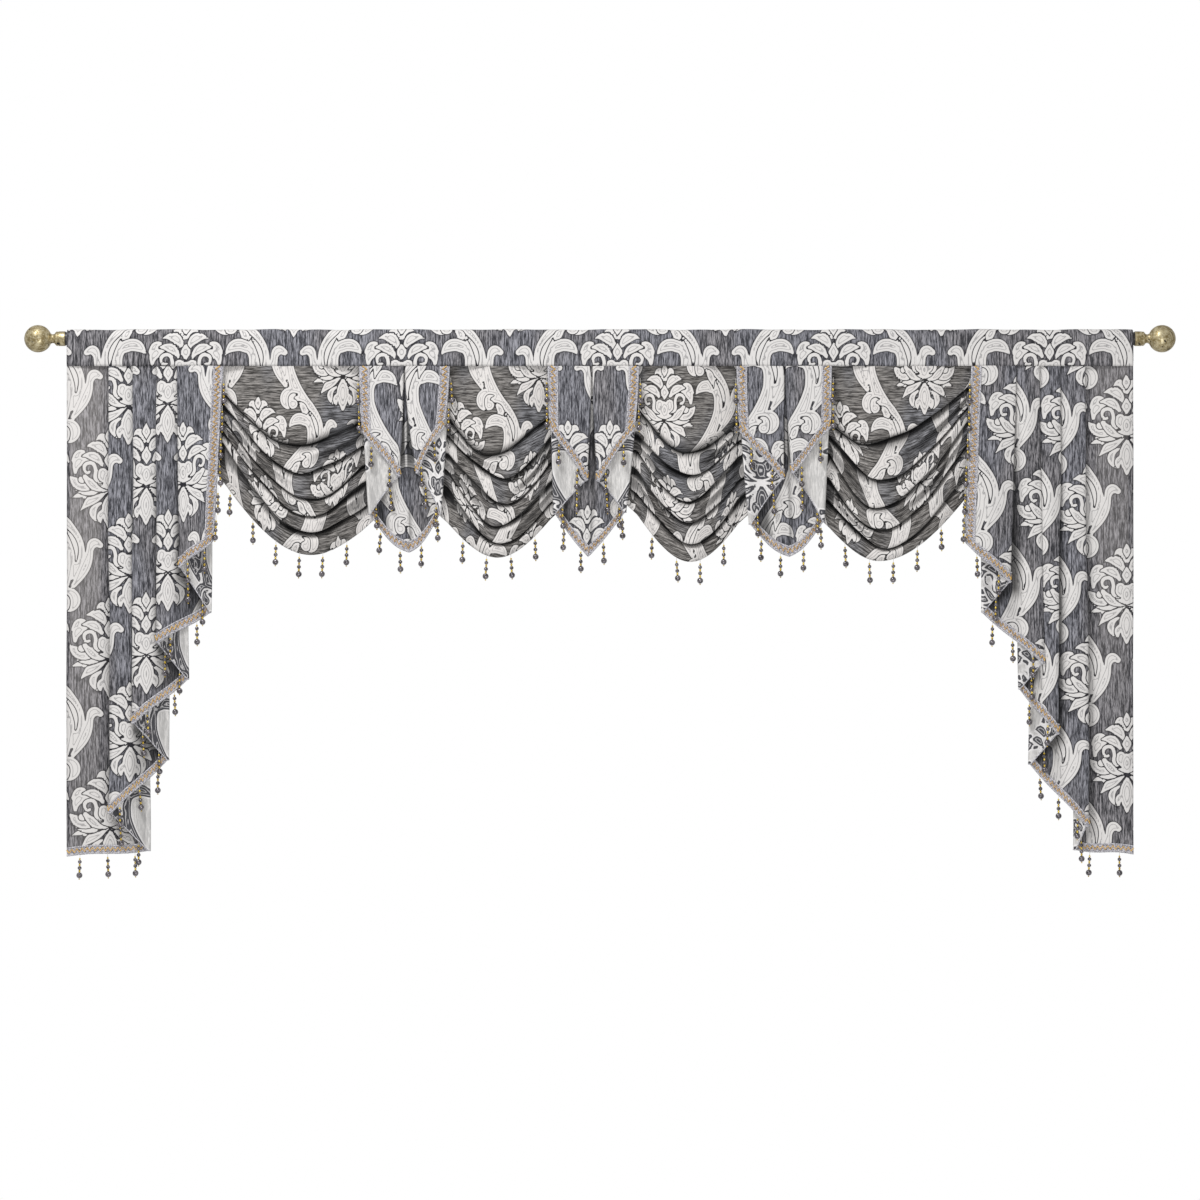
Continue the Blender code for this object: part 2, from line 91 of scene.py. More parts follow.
def add_node(tree, kind, *inputs, **settings):
    """A node whose inputs are values or other nodes' outputs, and whose settings are named."""
    made = tree.nodes.new("ShaderNode" + kind)
    for name, value in settings.items():
        setattr(made, name, value)
    for place, value in enumerate(inputs):
        join(tree, value, made.inputs[place])
    return made


def join(tree, value, socket):
    """Links an output to a socket, or sets the socket's value."""
    if isinstance(value, bpy.types.NodeSocket):
        tree.links.new(value, socket)
    elif isinstance(value, tuple) and len(value) == 3 and socket.type == "RGBA":
        socket.default_value = (*value, 1.0)
    else:
        socket.default_value = value


def set_inputs(tree, node, **values):
    """Sets or links a node's inputs by their names, with _ for each space."""
    for name, value in values.items():
        join(tree, value, node.inputs[name.replace("_", " ")])
    return node


def math_node(tree, operation, *values):
    return add_node(tree, "Math", *values, operation=operation).outputs[0]


def blend_colour(tree, share, first, second):
    """A colour between two others."""
    made = add_node(tree, "Mix", data_type="RGBA")
    for place, value in ((0, share), (6, first), (7, second)):
        join(tree, value, made.inputs[place])
    return made.outputs[2]


def step_between(tree, value, start, end):
    """0 where the value is at start, 1 where it is at end, smooth between them."""
    made = add_node(tree, "MapRange", value, start, end, 0.0, 1.0)
    made.interpolation_type = "SMOOTHSTEP"
    return made.outputs[0]


def stretched_noise(tree, place, stretch, detail=2.0, roughness=0.5):
    """Noise that is fine along one direction and long along the other."""
    scaled = add_node(tree, "VectorMath", place, stretch, operation="MULTIPLY").outputs[0]
    noise = add_node(tree, "TexNoise")
    set_inputs(tree, noise, Vector=scaled, Scale=1.0, Detail=detail, Roughness=roughness)
    return noise.outputs["Fac"]


def object_noise(tree, stretch, detail=2.0, roughness=0.5):
    """The same in the piece's own coordinates."""
    place = add_node(tree, "TexCoord").outputs["Object"]
    return stretched_noise(tree, place, stretch, detail, roughness)


def add_bump(tree, shader, height, strength, distance):
    """Relief in the shader's normals, distance high."""
    bump = add_node(tree, "Bump")
    set_inputs(tree, bump, Height=height, Strength=strength, Distance=distance)
    tree.links.new(bump.outputs[0], shader.inputs["Normal"])


def new_material(name):
    """A material, its nodes and its Principled shader."""
    material = bpy.data.materials.new(name)
    material.use_nodes = True
    return material, material.node_tree, material.node_tree.nodes["Principled BSDF"]


def new_group(name, inputs, outputs):
    """A shader node group with named sockets, its input outputs and its output node."""
    group = bpy.data.node_groups.new(name, "ShaderNodeTree")
    for way, sockets in (("INPUT", inputs), ("OUTPUT", outputs)):
        for socket, kind in sockets:
            group.interface.new_socket(socket, in_out=way, socket_type="NodeSocket" + kind)
    given = group.nodes.new("NodeGroupInput")
    return group, given.outputs, group.nodes.new("NodeGroupOutput").inputs


print("node helpers are ready")

# %% [markdown]
# ## Camera, light and floor
#
# The drape is seen straight on from far away with a long lens, so its sides stay upright.
# Light comes from a bright surround and two large soft lamps, as in a studio, and what the
# camera sees of the surround is plain white. The pale floor lies under the drape, far below
# its hems, where a room would have it.

# %% Camera
FRAME_WIDTH = 2.806
LENS = 120.0
SENSOR = 36.0
EYE_HEIGHT = -0.611

low, high = cad_bounds
camera = bpy.data.objects.new("camera", bpy.data.cameras.new("camera"))
bpy.context.scene.collection.objects.link(camera)
camera.data.lens = LENS
camera.data.sensor_width = SENSOR
camera.data.clip_end = 60
camera.location = ((low[0] + high[0]) / 2, -FRAME_WIDTH * LENS / SENSOR, EYE_HEIGHT)
camera.rotation_euler = (math.pi / 2, 0, 0)
bpy.context.scene.camera = camera
bpy.context.scene.view_settings.view_transform = "Standard"
print("camera at", tuple(round(c, 3) for c in camera.location))

# %% Light
WHITE = (1.0, 1.0, 1.0)
SURROUND_STRENGTH = 0.47


def area_lamp(name, place, aim, width, watts):
    """A large soft lamp at a place, aimed at a point."""
    lamp = bpy.data.objects.new(name, bpy.data.lights.new(name, "AREA"))
    bpy.context.scene.collection.objects.link(lamp)
    lamp.data.size = width
    lamp.data.energy = watts
    lamp.location = place
    lamp.rotation_euler = (Vector(aim) - Vector(place)).to_track_quat("-Z", "Y").to_euler()


area_lamp("key_lamp", place=(-1.8, -2.6, 3.2), aim=(0, 0, -0.5), width=1.4, watts=138)
area_lamp("fill_lamp", place=(0.4, -4.4, -1.6), aim=(0, 0, -0.9), width=2.2, watts=62)

world = bpy.data.worlds.new("studio")
bpy.context.scene.world = world
world.use_nodes = True
surround = world.node_tree
surround.nodes.clear()
seen = add_node(surround, "Background", WHITE, 1.0)
lighting = add_node(surround, "Background", WHITE, SURROUND_STRENGTH)
to_camera = add_node(surround, "LightPath").outputs["Is Camera Ray"]
chosen = add_node(surround, "MixShader", to_camera, lighting.outputs[0], seen.outputs[0])
add_node(surround, "OutputWorld", chosen.outputs[0])

# %% Floor
FLOOR_HEIGHT = -2.4
FLOOR_SIZE = (7.0, 4.0, 1.0)

bpy.ops.object.select_all(action="DESELECT")
bpy.ops.mesh.primitive_plane_add(size=1, location=(0, 0, FLOOR_HEIGHT))
floor = bpy.context.object
floor.name = "floor"
floor.scale = FLOOR_SIZE
bpy.ops.object.transform_apply(location=True, rotation=True, scale=True)

pale, tree, shader = new_material("pale_floor")
clouds = object_noise(tree, (3.0, 3.0, 3.0))
tone = blend_colour(tree, clouds, (0.80, 0.80, 0.80), (0.86, 0.86, 0.86))
set_inputs(tree, shader, Base_Color=tone, Roughness=0.85)
floor.data.materials.append(pale)
print("floor at", FLOOR_HEIGHT, "m")

# %% [markdown]
# ## The damask's drawing
#
# The cloth is woven with palmettes and scrolls, in a half-drop repeat. Each leaf of the
# drawing is a curved line with a width, one row of a small table. A point of the cloth
# stores how far it is from the nearest leaf's edge, with a sign that changes from leaf to
# leaf, so that the material can draw crisp outlines between the points of a coarse mesh.
# Two such numbers tell neighbouring leaves apart, as four colours do on a map.

# %% Leaves of the damask
REPEAT_WIDTH = 504 * MM
REPEAT_HEIGHT = 394 * MM

# Millimetres from the palmette's middle, for the half to the right of its axis: three points
# of the leaf's curved line, its half width at the start, middle and end, and its shade,
# which differs from its neighbours'. A later leaf lies over an earlier one, and leaves of the
# same shade run into each other.
Leaf = namedtuple("Leaf", "u0 v0 u1 v1 u2 v2 start middle end shade")
PALMETTE = (
    # pendant
    (20, -56, 56, -74, 20, -107, 4, 9, 1, 2),
    (8, -74, 26, -82, 21, -99, 6, 9, 4, 1),
    (0, -32, 0, -70, 0, -92, 3, 18, 14, 1),
    (0, -88, 0, -106, 0, -121, 12, 8, 0, 1),
    # leaves that spread from the waist
    (8, -29, 36, -36, 60, -36, 7, 20, 8, 2),
    (4, -30, 34, -34, 68, -76, 2, 13, 1, 3),
    (10, -27, 52, -28, 92, -46, 3, 10, 0, 2),
    (14, -25, 56, -36, 90, -16, 4, 10, 0, 1),
    (32, -16, 74, -22, 94, 13, 7, 14, 0, 3),
    (61, -1, 62, -1, 63, -1, 9, 9, 9, 1),
    # acanthus lobes
    (52, 42, 78, 50, 78, 16, 10, 12, 5, 2),
    (52, 50, 68, 68, 82, 44, 10, 12, 6, 2),
    (17, 34, 32, 62, 61, 54, 5, 11, 3, 1),
    (7, 52, 20, 90, 53, 76, 5, 12, 2, 3),
    (3, 76, 12, 116, 32, 88, 4, 9, 1, 1),
    (0, 80, 0, 90, 0, 100, 0, 5, 10, 2),
    (0, 123, 0, 112, 0, 100, 0, 5, 10, 2),
    # bud and its flanks
    (6, -25, 36, -22, 56, 6, 3, 11, 6, 2),
    (3, -22, 27, -4, 15, 15, 3, 12, 12, 1),
    (0, -26, 0, 0, 0, 12, 1, 15, 10, 1),
    # curl
    (16, -10, 38, -4, 31, 16, 2, 5, 5, 3),
    (31, 16, 32, 40, 46, 38, 5, 5, 5, 3),
    (46, 38, 60, 36, 57, 22, 5, 5, 4, 3),
    (57, 22, 53, 11, 45, 17, 4, 4, 4, 3),
    # middle almond
    (0, 21, 0, 33, 0, 44, 0, 6, 12, 2),
    (0, 68, 0, 56, 0, 44, 0, 6, 12, 2),
)
SCROLL = (
    # the long curve, from its root to its bent head
    (170, -30, 191, 34, 150, 88, 8, 21, 19, 1),
    (150, 88, 104, 136, 94, 196, 19, 17, 12, 1),
    (94, 196, 92, 248, 113, 254, 12, 10, 15, 1),
    (113, 254, 142, 268, 162, 230, 15, 14, 0, 1),
    (175, 6, 184, 48, 146, 86, 2, 6, 2, 3),
    # volute
    (94, 112, 95, 112, 96, 112, 29, 29, 29, 1),
    (104, 98, 105, 98, 106, 98, 13, 13, 13, 2),
    (99, 102, 94, 124, 118, 122, 9, 7, 2, 2),
    (124, 102, 140, 92, 146, 56, 3, 10, 2, 3),
    # hook
    (82, 146, 50, 188, 45, 228, 7, 13, 9, 1),
    (45, 228, 40, 256, 21, 240, 9, 12, 8, 1),
)
LEAVES = [Leaf(*row) for row in PALMETTE + SCROLL]
print("leaves:", len(LEAVES))

# %% [markdown]
# A leaf's edge is found as for a chain of tapered rods: the distance to the nearest point of
# the chain's line, less the width there. The cloth is mirrored at each palmette's axis, and
# the next column of palmettes, half a repeat to the side, stands half a repeat lower.

# %% Distances in the drawing
REACH = 26 * MM
CHAIN = 10  # rods along a leaf
POINTED = 1.6  # above 1, a leaf's ends draw to a point
DROP_BELOW = 150 * MM  # how far below its middle a column's drawing starts


def mix(a, b, t):
    return a + (b - a) * t


def leaf_edge(leaf, u, v):
    """Signed distance from points to a leaf's edge, negative inside."""
    t = np.linspace(0, 1, CHAIN + 1)
    line_u = MM * (leaf.u0 * (1 - t) ** 2 + 2 * leaf.u1 * t * (1 - t) + leaf.u2 * t * t)
    line_v = MM * (leaf.v0 * (1 - t) ** 2 + 2 * leaf.v1 * t * (1 - t) + leaf.v2 * t * t)
    ends = mix(leaf.start, leaf.end, t)
    fuller = leaf.middle - (leaf.start + leaf.end) / 2
    width = MM * (ends + fuller * (4 * t * (1 - t)) ** POINTED)
    nearest = np.full(len(u), REACH)
    for k in range(CHAIN):
        du, dv = line_u[k + 1] - line_u[k], line_v[k + 1] - line_v[k]
        part = ((u - line_u[k]) * du + (v - line_v[k]) * dv) / (du * du + dv * dv)
        part = np.clip(part, 0, 1)
        gap = np.hypot(u - line_u[k] - part * du, v - line_v[k] - part * dv)
        nearest = np.minimum(nearest, gap - mix(width[k], width[k + 1], part))
    return nearest


def damask_at(u, v):
    """Per point: the two signed edge distances, and a zero."""
    u = np.abs((u + REPEAT_WIDTH / 2) % REPEAT_WIDTH - REPEAT_WIDTH / 2)
    edge = np.full(len(u), REACH)
    shade = np.zeros(len(u), int)
    for column in (0, 1):
        across = REPEAT_WIDTH / 2 - u if column else u
        up = (v - column * REPEAT_HEIGHT / 2 + DROP_BELOW) % REPEAT_HEIGHT - DROP_BELOW
        for leaf in LEAVES:
            margin = max(leaf.start, leaf.middle, leaf.end) * MM + REACH
            us, vs = (leaf.u0, leaf.u1, leaf.u2), (leaf.v0, leaf.v1, leaf.v2)
            beside = (across > min(us) * MM - margin) & (across < max(us) * MM + margin)
            for shift in (0, REPEAT_HEIGHT):
                above = up + shift > min(vs) * MM - margin
                near = np.flatnonzero(beside & above & (up + shift < max(vs) * MM + margin))
                gap = leaf_edge(leaf, across[near], up[near] + shift)
                inside, same = gap < 0, shade[near] == leaf.shade
                joined = np.where(same, np.maximum(edge[near], -gap), -gap)
                beyond = np.where(same, edge[near], np.minimum(edge[near], gap))
                edge[near] = np.where(inside, joined, beyond)
                shade[near] = np.where(inside, leaf.shade, shade[near])
    first = np.where(shade & 1, -edge, edge)
    second = np.where(shade & 2, -edge, edge)
    return np.stack([first, second, np.zeros(len(u))], axis=1)


print("a point in a palmette:", damask_at(np.array([0.0]), np.array([0.01])))

# %% [markdown]
# ## The damask's finish
#
# The ground is a fine ribbed weave whose weft threads vary in tone, which gives long thin
# streaks. The leaves are a paler satin that floats over it. One node group reads the stored
# distances and the place on the flat cloth, and draws ground, leaves, their white rims,
# dark outlines and the contour threads inside them. It also paints shade into the colour
# deep in the folds, and a little light on some open cloth, from a stored fold value.

# %% Damask group
# Distances from a leaf's edge, each where a part of the drawing starts and ends.
EDGE = (0.35 * MM, -0.35 * MM)
SHADOW = (2.6 * MM, 0.8 * MM)  # beside the leaf, on the ground
OUTLINE = (1.65 * MM, 0.66 * MM)
RIM = (2.6 * MM, 1.2 * MM)
PILLOW = (0.0, 3.0 * MM)  # the leaf's float rises to its full height
CONTOUR = 5.4 * MM  # from one contour thread to the next
OUTER_FACES = (0.84, 0.90)  # metres across the flat cloth
RIM_COLOUR = (0.92, 0.90, 0.88)
# Colours of the painted light on open cloth and of the painted shade deep in a fold.
PAINTED_LIGHT_COLOUR = (0.78, 0.73, 0.69)
PAINTED_SHADE_COLOUR = (0.004, 0.004, 0.005)

damask_group, given, wanted = new_group(
    "Damask drawing",
    [
        ("Cloth", "Vector"), ("Streak", "Vector"), ("Ground dark", "Color"),
        ("Ground light", "Color"), ("Tint", "Color"), ("Leaf", "Color"), ("Thread", "Color"),
        ("Line", "Color"), ("Fold dark", "Float"),
    ],
    [("Color", "Color"), ("Height", "Float"), ("Inside", "Float")],
)
calc = partial(math_node, damask_group)
step = partial(step_between, damask_group)
blend = partial(blend_colour, damask_group)
noise = partial(stretched_noise, damask_group)
node = partial(add_node, damask_group)

edges = node("Attribute", attribute_name="damask", attribute_type="GEOMETRY")
edges = node("SeparateXYZ", edges.outputs["Vector"]).outputs
inside = step(calc("MINIMUM", edges[0], edges[1]), *EDGE)
closest = calc("MINIMUM", calc("ABSOLUTE", edges[0]), calc("ABSOLUTE", edges[1]))
# The ground has long and fine streaks, and is tinted in patches and on the outer faces.
streaks = node("VectorMath", given["Cloth"], given["Streak"], operation="MULTIPLY").outputs[0]
fine = noise(streaks, (2.7, 3.1, 1.0), 2.0, 0.7)
streak = calc("MULTIPLY", noise(streaks, (1.0, 1.0, 1.0), 3.0, 0.6), 0.55)
streak = calc("ADD", streak, calc("MULTIPLY", fine, 0.45))
ground = blend(step(streak, 0.42, 0.63), given["Ground dark"], given["Ground light"])
tinted = blend(1.0, ground, given["Tint"])
tinted.node.blend_type = "MULTIPLY"
across = node("SeparateXYZ", given["Cloth"]).outputs[0]
outer = step(calc("ABSOLUTE", across), *OUTER_FACES)
patch = step(noise(given["Cloth"], (7.0, 2.4, 1.0), 1.0), 0.45, 0.62)
ground = blend(calc("MAXIMUM", patch, outer), ground, tinted)
shadow = calc("MULTIPLY", step(closest, *SHADOW), 0.5)
ground = blend(shadow, ground, given["Line"])
# The leaves have contour threads, a pale rim and a dark outline.
wave = calc("SINE", calc("MULTIPLY", closest, 2 * math.pi / CONTOUR))
thread = calc("MULTIPLY", step(wave, 0.35, 0.95), step(fine, 0.2, 0.5))
leaf_tone = blend(calc("MULTIPLY", thread, 0.72), given["Leaf"], given["Thread"])
leaf_tone = blend(step(closest, *RIM), leaf_tone, RIM_COLOUR)
leaf_tone = blend(step(closest, *OUTLINE), leaf_tone, given["Line"])
cloth_tone = blend(inside, ground, leaf_tone)
# Painted light and shade: where the fold's value is below 0 the colour is lightened as if
# lit, and above 0 it is darkened as painted shade in the fold.
folded = node("Attribute", attribute_name="folded", attribute_type="GEOMETRY").outputs["Fac"]
cloth_tone = blend(calc("MULTIPLY", folded, -1.0), cloth_tone, PAINTED_LIGHT_COLOUR)
cloth_tone = blend(calc("MULTIPLY", folded, given["Fold dark"]), cloth_tone, PAINTED_SHADE_COLOUR)
height = calc("MULTIPLY", inside, step(closest, *PILLOW))
height = calc("ADD", height, calc("MULTIPLY", fine, 0.5))
for name, value in (("Color", cloth_tone), ("Height", height), ("Inside", inside)):
    join(damask_group, value, wanted[name])
print("damask group:", len(damask_group.nodes), "nodes")

# %% Damask materials
# How fine the ground's streaks are, across and along the cloth.
UPRIGHT = (290.0, 22.0, 1.0)
SIDEWAYS = (22.0, 290.0, 1.0)
# Fold dark: how much painted shade takes from the cloth's colour in the bottom of a fold.
RIGHT_SIDE = dict(Thread=(0.24, 0.235, 0.24), Fold_dark=0.98)
# The wrong side is the drawing's negative: dark leaves drawn in white on pale floats.
WRONG_SIDE = dict(
    Ground_dark=(0.55, 0.54, 0.53), Ground_light=(0.84, 0.82, 0.80), Tint=WHITE,
    Thread=(0.86, 0.84, 0.84), Line=(0.88, 0.86, 0.86), Fold_dark=0.6,
)


def damask_material(name, relief, **drawing):
    """A cloth with the drawing in its colours, and the relief of its weave."""
    material, tree, shader = new_material(name)
    drawn = add_node(tree, "Group", node_tree=damask_group)
    cloth = add_node(tree, "UVMap", uv_map="cloth").outputs[0]
    drawn = set_inputs(tree, drawn, Cloth=cloth, **drawing).outputs
    set_inputs(tree, shader, Base_Color=drawn["Color"])
    add_bump(tree, shader, drawn["Height"], relief, relief * MM)
    return material, tree, shader, drawn


def right_side(name, **drawing):
    """The right side, whose leaves are a little smoother."""
    material, tree, shader, drawn = damask_material(name, 0.5, **RIGHT_SIDE, **drawing)
    satin = math_node(tree, "MULTIPLY", drawn["Inside"], -0.14)
    set_inputs(
        tree, shader, Roughness=math_node(tree, "ADD", satin, 0.72), Sheen_Weight=0.08,
        Sheen_Roughness=0.4, Specular_IOR_Level=0.2,
    )
    return material


def wrong_side(name, **drawing):
    """The wrong side, which is duller."""
    material, tree, shader, drawn = damask_material(name, 0.4, **WRONG_SIDE, **drawing)
    set_inputs(tree, shader, Roughness=0.75, Sheen_Weight=0.2)
    return material


damask = right_side(
    "damask", Streak=UPRIGHT, Ground_dark=(0.030, 0.031, 0.038), Ground_light=(0.37, 0.37, 0.41),
    Tint=(1.0, 0.962, 0.91), Leaf=(0.72, 0.70, 0.685), Line=(0.018, 0.017, 0.022),
)
damask_back = wrong_side("damask_back", Streak=UPRIGHT, Leaf=(0.06, 0.06, 0.07))
swag_damask = right_side(
    "swag_damask", Streak=SIDEWAYS, Ground_dark=(0.036, 0.033, 0.031),
    Ground_light=(0.385, 0.364, 0.346), Tint=(0.84, 0.89, 1.0), Leaf=(0.73, 0.70, 0.678),
    Line=(0.016, 0.014, 0.015),
)
swag_back = wrong_side("swag_back", Streak=SIDEWAYS, Leaf=(0.06, 0.057, 0.055))
print("damasks:", damask.name, damask_back.name, swag_damask.name, swag_back.name)

# %% [markdown]
# ## Cutting cloth
#
# A sheet starts as a flat grid, mostly at 4.3 to 5 mm a cell. Each of its points knows its
# column and its row, and is moved to its place on the folds. Points below the cutting line
# are drawn up to it and merged there, as if the cloth had been cut along it. The place on
# the flat cloth is kept as a UV map in metres, because the weave follows the cloth and not
# the room. A Solidify modifier gives the thickness, with the wrong side in its own material.

# %% Sheet helpers


def stand_in(piece, node):
    """Puts a piece in a solid's place, on the drape's one body."""
    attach(piece, "root")
    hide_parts(node)


def deselect():
    if bpy.context.object and bpy.context.object.mode != "OBJECT":
        bpy.ops.object.mode_set(mode="OBJECT")
    bpy.ops.object.select_all(action="DESELECT")


def edit_all():
    bpy.ops.object.mode_set(mode="EDIT")
    bpy.ops.mesh.select_all(action="SELECT")


def thicken(piece, **settings):
    """Gives a sheet its thickness, half to each side."""
    made = piece.modifiers.new("Thickness", "SOLIDIFY")
    for key, value in dict(settings, offset=0.0).items():
        setattr(made, key, value)
    bpy.context.view_layer.objects.active = piece
    bpy.ops.object.modifier_apply(modifier="Thickness")


def store_points(mesh, name, values):
    made = mesh.attributes.new(name, "FLOAT_VECTOR", "POINT")
    made.data.foreach_set("vector", values.astype(np.float32).ravel())


def read_points(collection, field):
    values = np.empty(len(collection) * 3, np.float32)
    collection.foreach_get(field, values)
    return values.reshape(-1, 3)


print("sheet helpers are ready")

# %% Cutting a sheet
CLOTH = 1.3 * MM  # thickness
MERGE = 0.35 * MM  # points closer than this become one


def grid_piece(points):
    """A grid moved to its points, columns by rows, left to right and top to bottom, and the
    column and row of each vertex."""
    columns, rows = points.shape[0] - 1, points.shape[1] - 1
    deselect()
    bpy.ops.mesh.primitive_grid_add(x_subdivisions=columns, y_subdivisions=rows, size=2)
    piece = bpy.context.object
    start = read_points(piece.data.vertices, "co")
    column = np.rint((start[:, 0] + 1) / 2 * columns).astype(int)
    row = np.rint((1 - start[:, 1]) / 2 * rows).astype(int)
    piece.data.vertices.foreach_set("co", points[column, row].astype(np.float32).ravel())
    return piece, column, row


def cut_sheet(name, points, flat, folded, materials, origin=(0, 0), finer=(1, 1)):
    """A sheet whose columns and rows of points are on the folds, with flat, their places on the
    cloth, and folded, its painted shade: 1 deep in a fold and 0 in the open, below 0 painted
    light. The drawing may be finer, from its place origin."""
    piece, column, row = grid_piece(points)
    piece.name = piece.data.name = name
    mesh = piece.data
    store_points(mesh, "place", np.dstack([flat, folded])[column, row])
    edit_all()
    bpy.ops.mesh.remove_doubles(threshold=MERGE)
    bpy.ops.object.mode_set(mode="OBJECT")
    places = read_points(mesh.attributes["place"].data, "vector").astype(float)
    drawn = np.array(origin) + np.array(finer) * places[:, :2]
    store_points(mesh, "damask", damask_at(drawn[:, 0], drawn[:, 1]))
    # The fold value, kept for the material's painted shade and painted light.
    shade = mesh.attributes.new("folded", "FLOAT", "POINT")
    shade.data.foreach_set("value", places[:, 2].astype(np.float32))
    corners = np.empty(len(mesh.loops), int)
    mesh.loops.foreach_get("vertex_index", corners)
    mesh.uv_layers[0].name = "cloth"
    mesh.uv_layers[0].data.foreach_set("uv", places[corners, :2].astype(np.float32).ravel())
    mesh.attributes.remove(mesh.attributes["place"])
    for material in materials:
        mesh.materials.append(material)
    thicken(piece, thickness=CLOTH, use_even_offset=False, material_offset=1)
    bpy.ops.object.shade_smooth()
    return piece


print("cloth:", CLOTH / MM, "mm thick")

# %% [markdown]
# ## Pleated panels
#
# A tail and a jabot are flat cloths folded back and forth, with a slanting cut that shows as
# steps once the cloth is folded. A place along a panel is one number: run i, from fold i to
# fold i + 1, is 2i to 2i + 1, and the turn at fold i + 1 is 2i + 1 to 2i + 2. The fold lines
# are the source's. To them come a soft belly in each run that shows and a little sway.

# %% Sizes of the heading and panels
HALF_WIDTH = 1245 * MM
SLEEVE_RADIUS = 16.55 * MM
SLEEVE_TOP = 20.9 * MM
SEAM_Z = -64.6 * MM
TUCK = 12 * MM
FRONT_Y = -14.75 * MM
PANEL_LEAN = 8 * MM
CELL = 4.4 * MM
HIDDEN_CELLS = 1.8  # cells of a run that doesn't show are this much wider
print("width:", 2 * HALF_WIDTH, "m")

# %% Folds of the tails
# Millimetres: where a fold line is along the pole at the seam and at the cut, how deep the
# cloth arrives and leaves behind the front layer, and the height of the cut there.
Fold = namedtuple("Fold", "x_seam x_cut arrive leave z_cut")
# A run that shows: its number, the part of it that shows, and where along the pole the
# drawing's distance from a palmette axis is known. On a run that is turned back, the drawing
# goes the other way, and may be drawn in. The drawing may also lie lower on a run.
Face = namedtuple("Face", "run x_from x_to x_known u_known slope lower", defaults=(1.0, 0))

TAIL_LEFT = (
    (-881, -902, 0.0, 0.0, -471),
    (-988, -981, 0.0, 3.2, -534),
    (-905, -909, 11.0, 14.2, -639),
    (-1035, -1037, 0.0, 3.2, -711),
    (-965, -963, 9.8, 13.0, -795),
    (-1091, -1091, 0.0, 3.2, -898),
    (-1010, -1007, 10.4, 13.6, -984),
    (-1147, -1145, 0.0, 3.2, -1108),
    (-1060, -1054, 11.0, 14.2, -1197),
    (-1245, -1245, 2.0, 2.0, -1208),
)
TAIL_LEFT_FACES = (
    (0, -881, -988, -976, 0, 1, -2),
    (2, -984, -1035, -1010, -252, 1, 7),
    (4, -1031, -1091, -1062, -504, 1, 3),
    (6, -1087, -1147, -1102, -756, 1, 14),
    (8, -1143, -1245, -1147, -1008, 1, 14),
)
TAIL_RIGHT = (
    (869, 853, 0.0, 0.0, -475),
    (972, 960, 0.0, 3.2, -569),
    (885, 893, 10.8, 14.0, -639),
    (1026, 1035, 0.0, 3.2, -758),
    (975, 977, 9.0, 12.2, -818),
    (1075, 1071, 0.0, 3.2, -923),
    (1010, 1005, 10.4, 13.6, -994),
    (1133, 1142, 0.0, 3.2, -1138),
    (1100, 1106, 7.0, 10.2, -1194),
    (1245, 1245, 2.0, 2.0, -1203),
)
TAIL_RIGHT_FACES = (
    (0, 869, 972, 997, 0, 1, -9),
    (2, 968, 1026, 1060, 252, 1, -5),
    (4, 1022, 1075, 1117, 504, 1, -2),
    (6, 1071, 1133, 1158, 756, 1, 6),
    (8, 1129, 1245, 1229, 1008, 1, 0),
)
print("pleats of the tails:", len(TAIL_LEFT), "and", len(TAIL_RIGHT))

# %% Folds of the jabots
# The three jabots are folded alike: how deep the cloth arrives and leaves at each fold.
JABOT_DEPTHS = (
    (0.0, 0.0), (0.0, 4.2), (4.2, 8.4), (8.4, 8.4), (8.4, 4.2), (4.2, 0.0), (0.0, 0.0),
)
# The other columns of each jabot's folds: x_seam, x_cut and z_cut.
JABOTS = (
    (
        (-560, -556, -216),
        (-459, -468, -322),
        (-556, -541, -410),
        (-455, -447, -498),
        (-356, -370, -409),
        (-455, -429, -315),
        (-352, -365, -209),
    ),
    (
        (-120, -118, -205),
        (-21, -30, -331),
        (-116, -109, -408),
        (-18, -28, -508),
        (86, 62, -405),
        (-17, -7, -333),
        (90, 80, -214),
    ),
    (
        (321, 326, -216),
        (430, 429, -328),
        (325, 348, -433),
        (434, 442, -508),
        (536, 526, -427),
        (434, 447, -315),
        (540, 538, -208),
    ),
)
JABOT_FACES = (
    (
        (0, -560, -462, -513, 118),
        (1, -472, -555, -515, 252, -0.42),
        (2, -520, -455, -458, 376),
        (3, -455, -390, -458, 376),
        (5, -452, -352, -412, 622),
    ),
    (
        (0, -120, -24, -73, 0),
        (1, -41, -112, -80, 115, -0.75),
        (2, -85, -18, -25, 252),
        (3, -18, 45, -25, 252),
        (4, 75, 25, 50, 394, -0.7),
        (5, -14, 90, 22, 504),
    ),
    (
        (0, 321, 427, 392, 409),
        (2, 375, 434, 446, 661),
        (3, 434, 500, 446, 661),
        (4, 530, 465, 500, 756, -0.6),
        (5, 437, 540, 487, 913),
    ),
)
# Height of the drawing's zero at each panel: what is added to a point's height.
TAIL_LIFTS = (315 * MM, 203 * MM)
JABOT_LIFTS = (346 * MM, 309 * MM, 308 * MM)
JABOT_BULGES = (19 * MM, 8 * MM, 15 * MM)  # how round the cut is beside a jabot's tip
# How the layers spread lower down, how full the runs are, how far the fold lines sway, and
# how late they leave their places at the seam.
TAIL_SHAPE = dict(spread=1.95, belly=7 * MM, sway=1.6 * MM, swing=1.0)
JABOT_SHAPE = dict(spread=3.0, belly=4 * MM, sway=0.8 * MM, swing=1.8)
print("pleats of a jabot:", len(JABOT_DEPTHS))

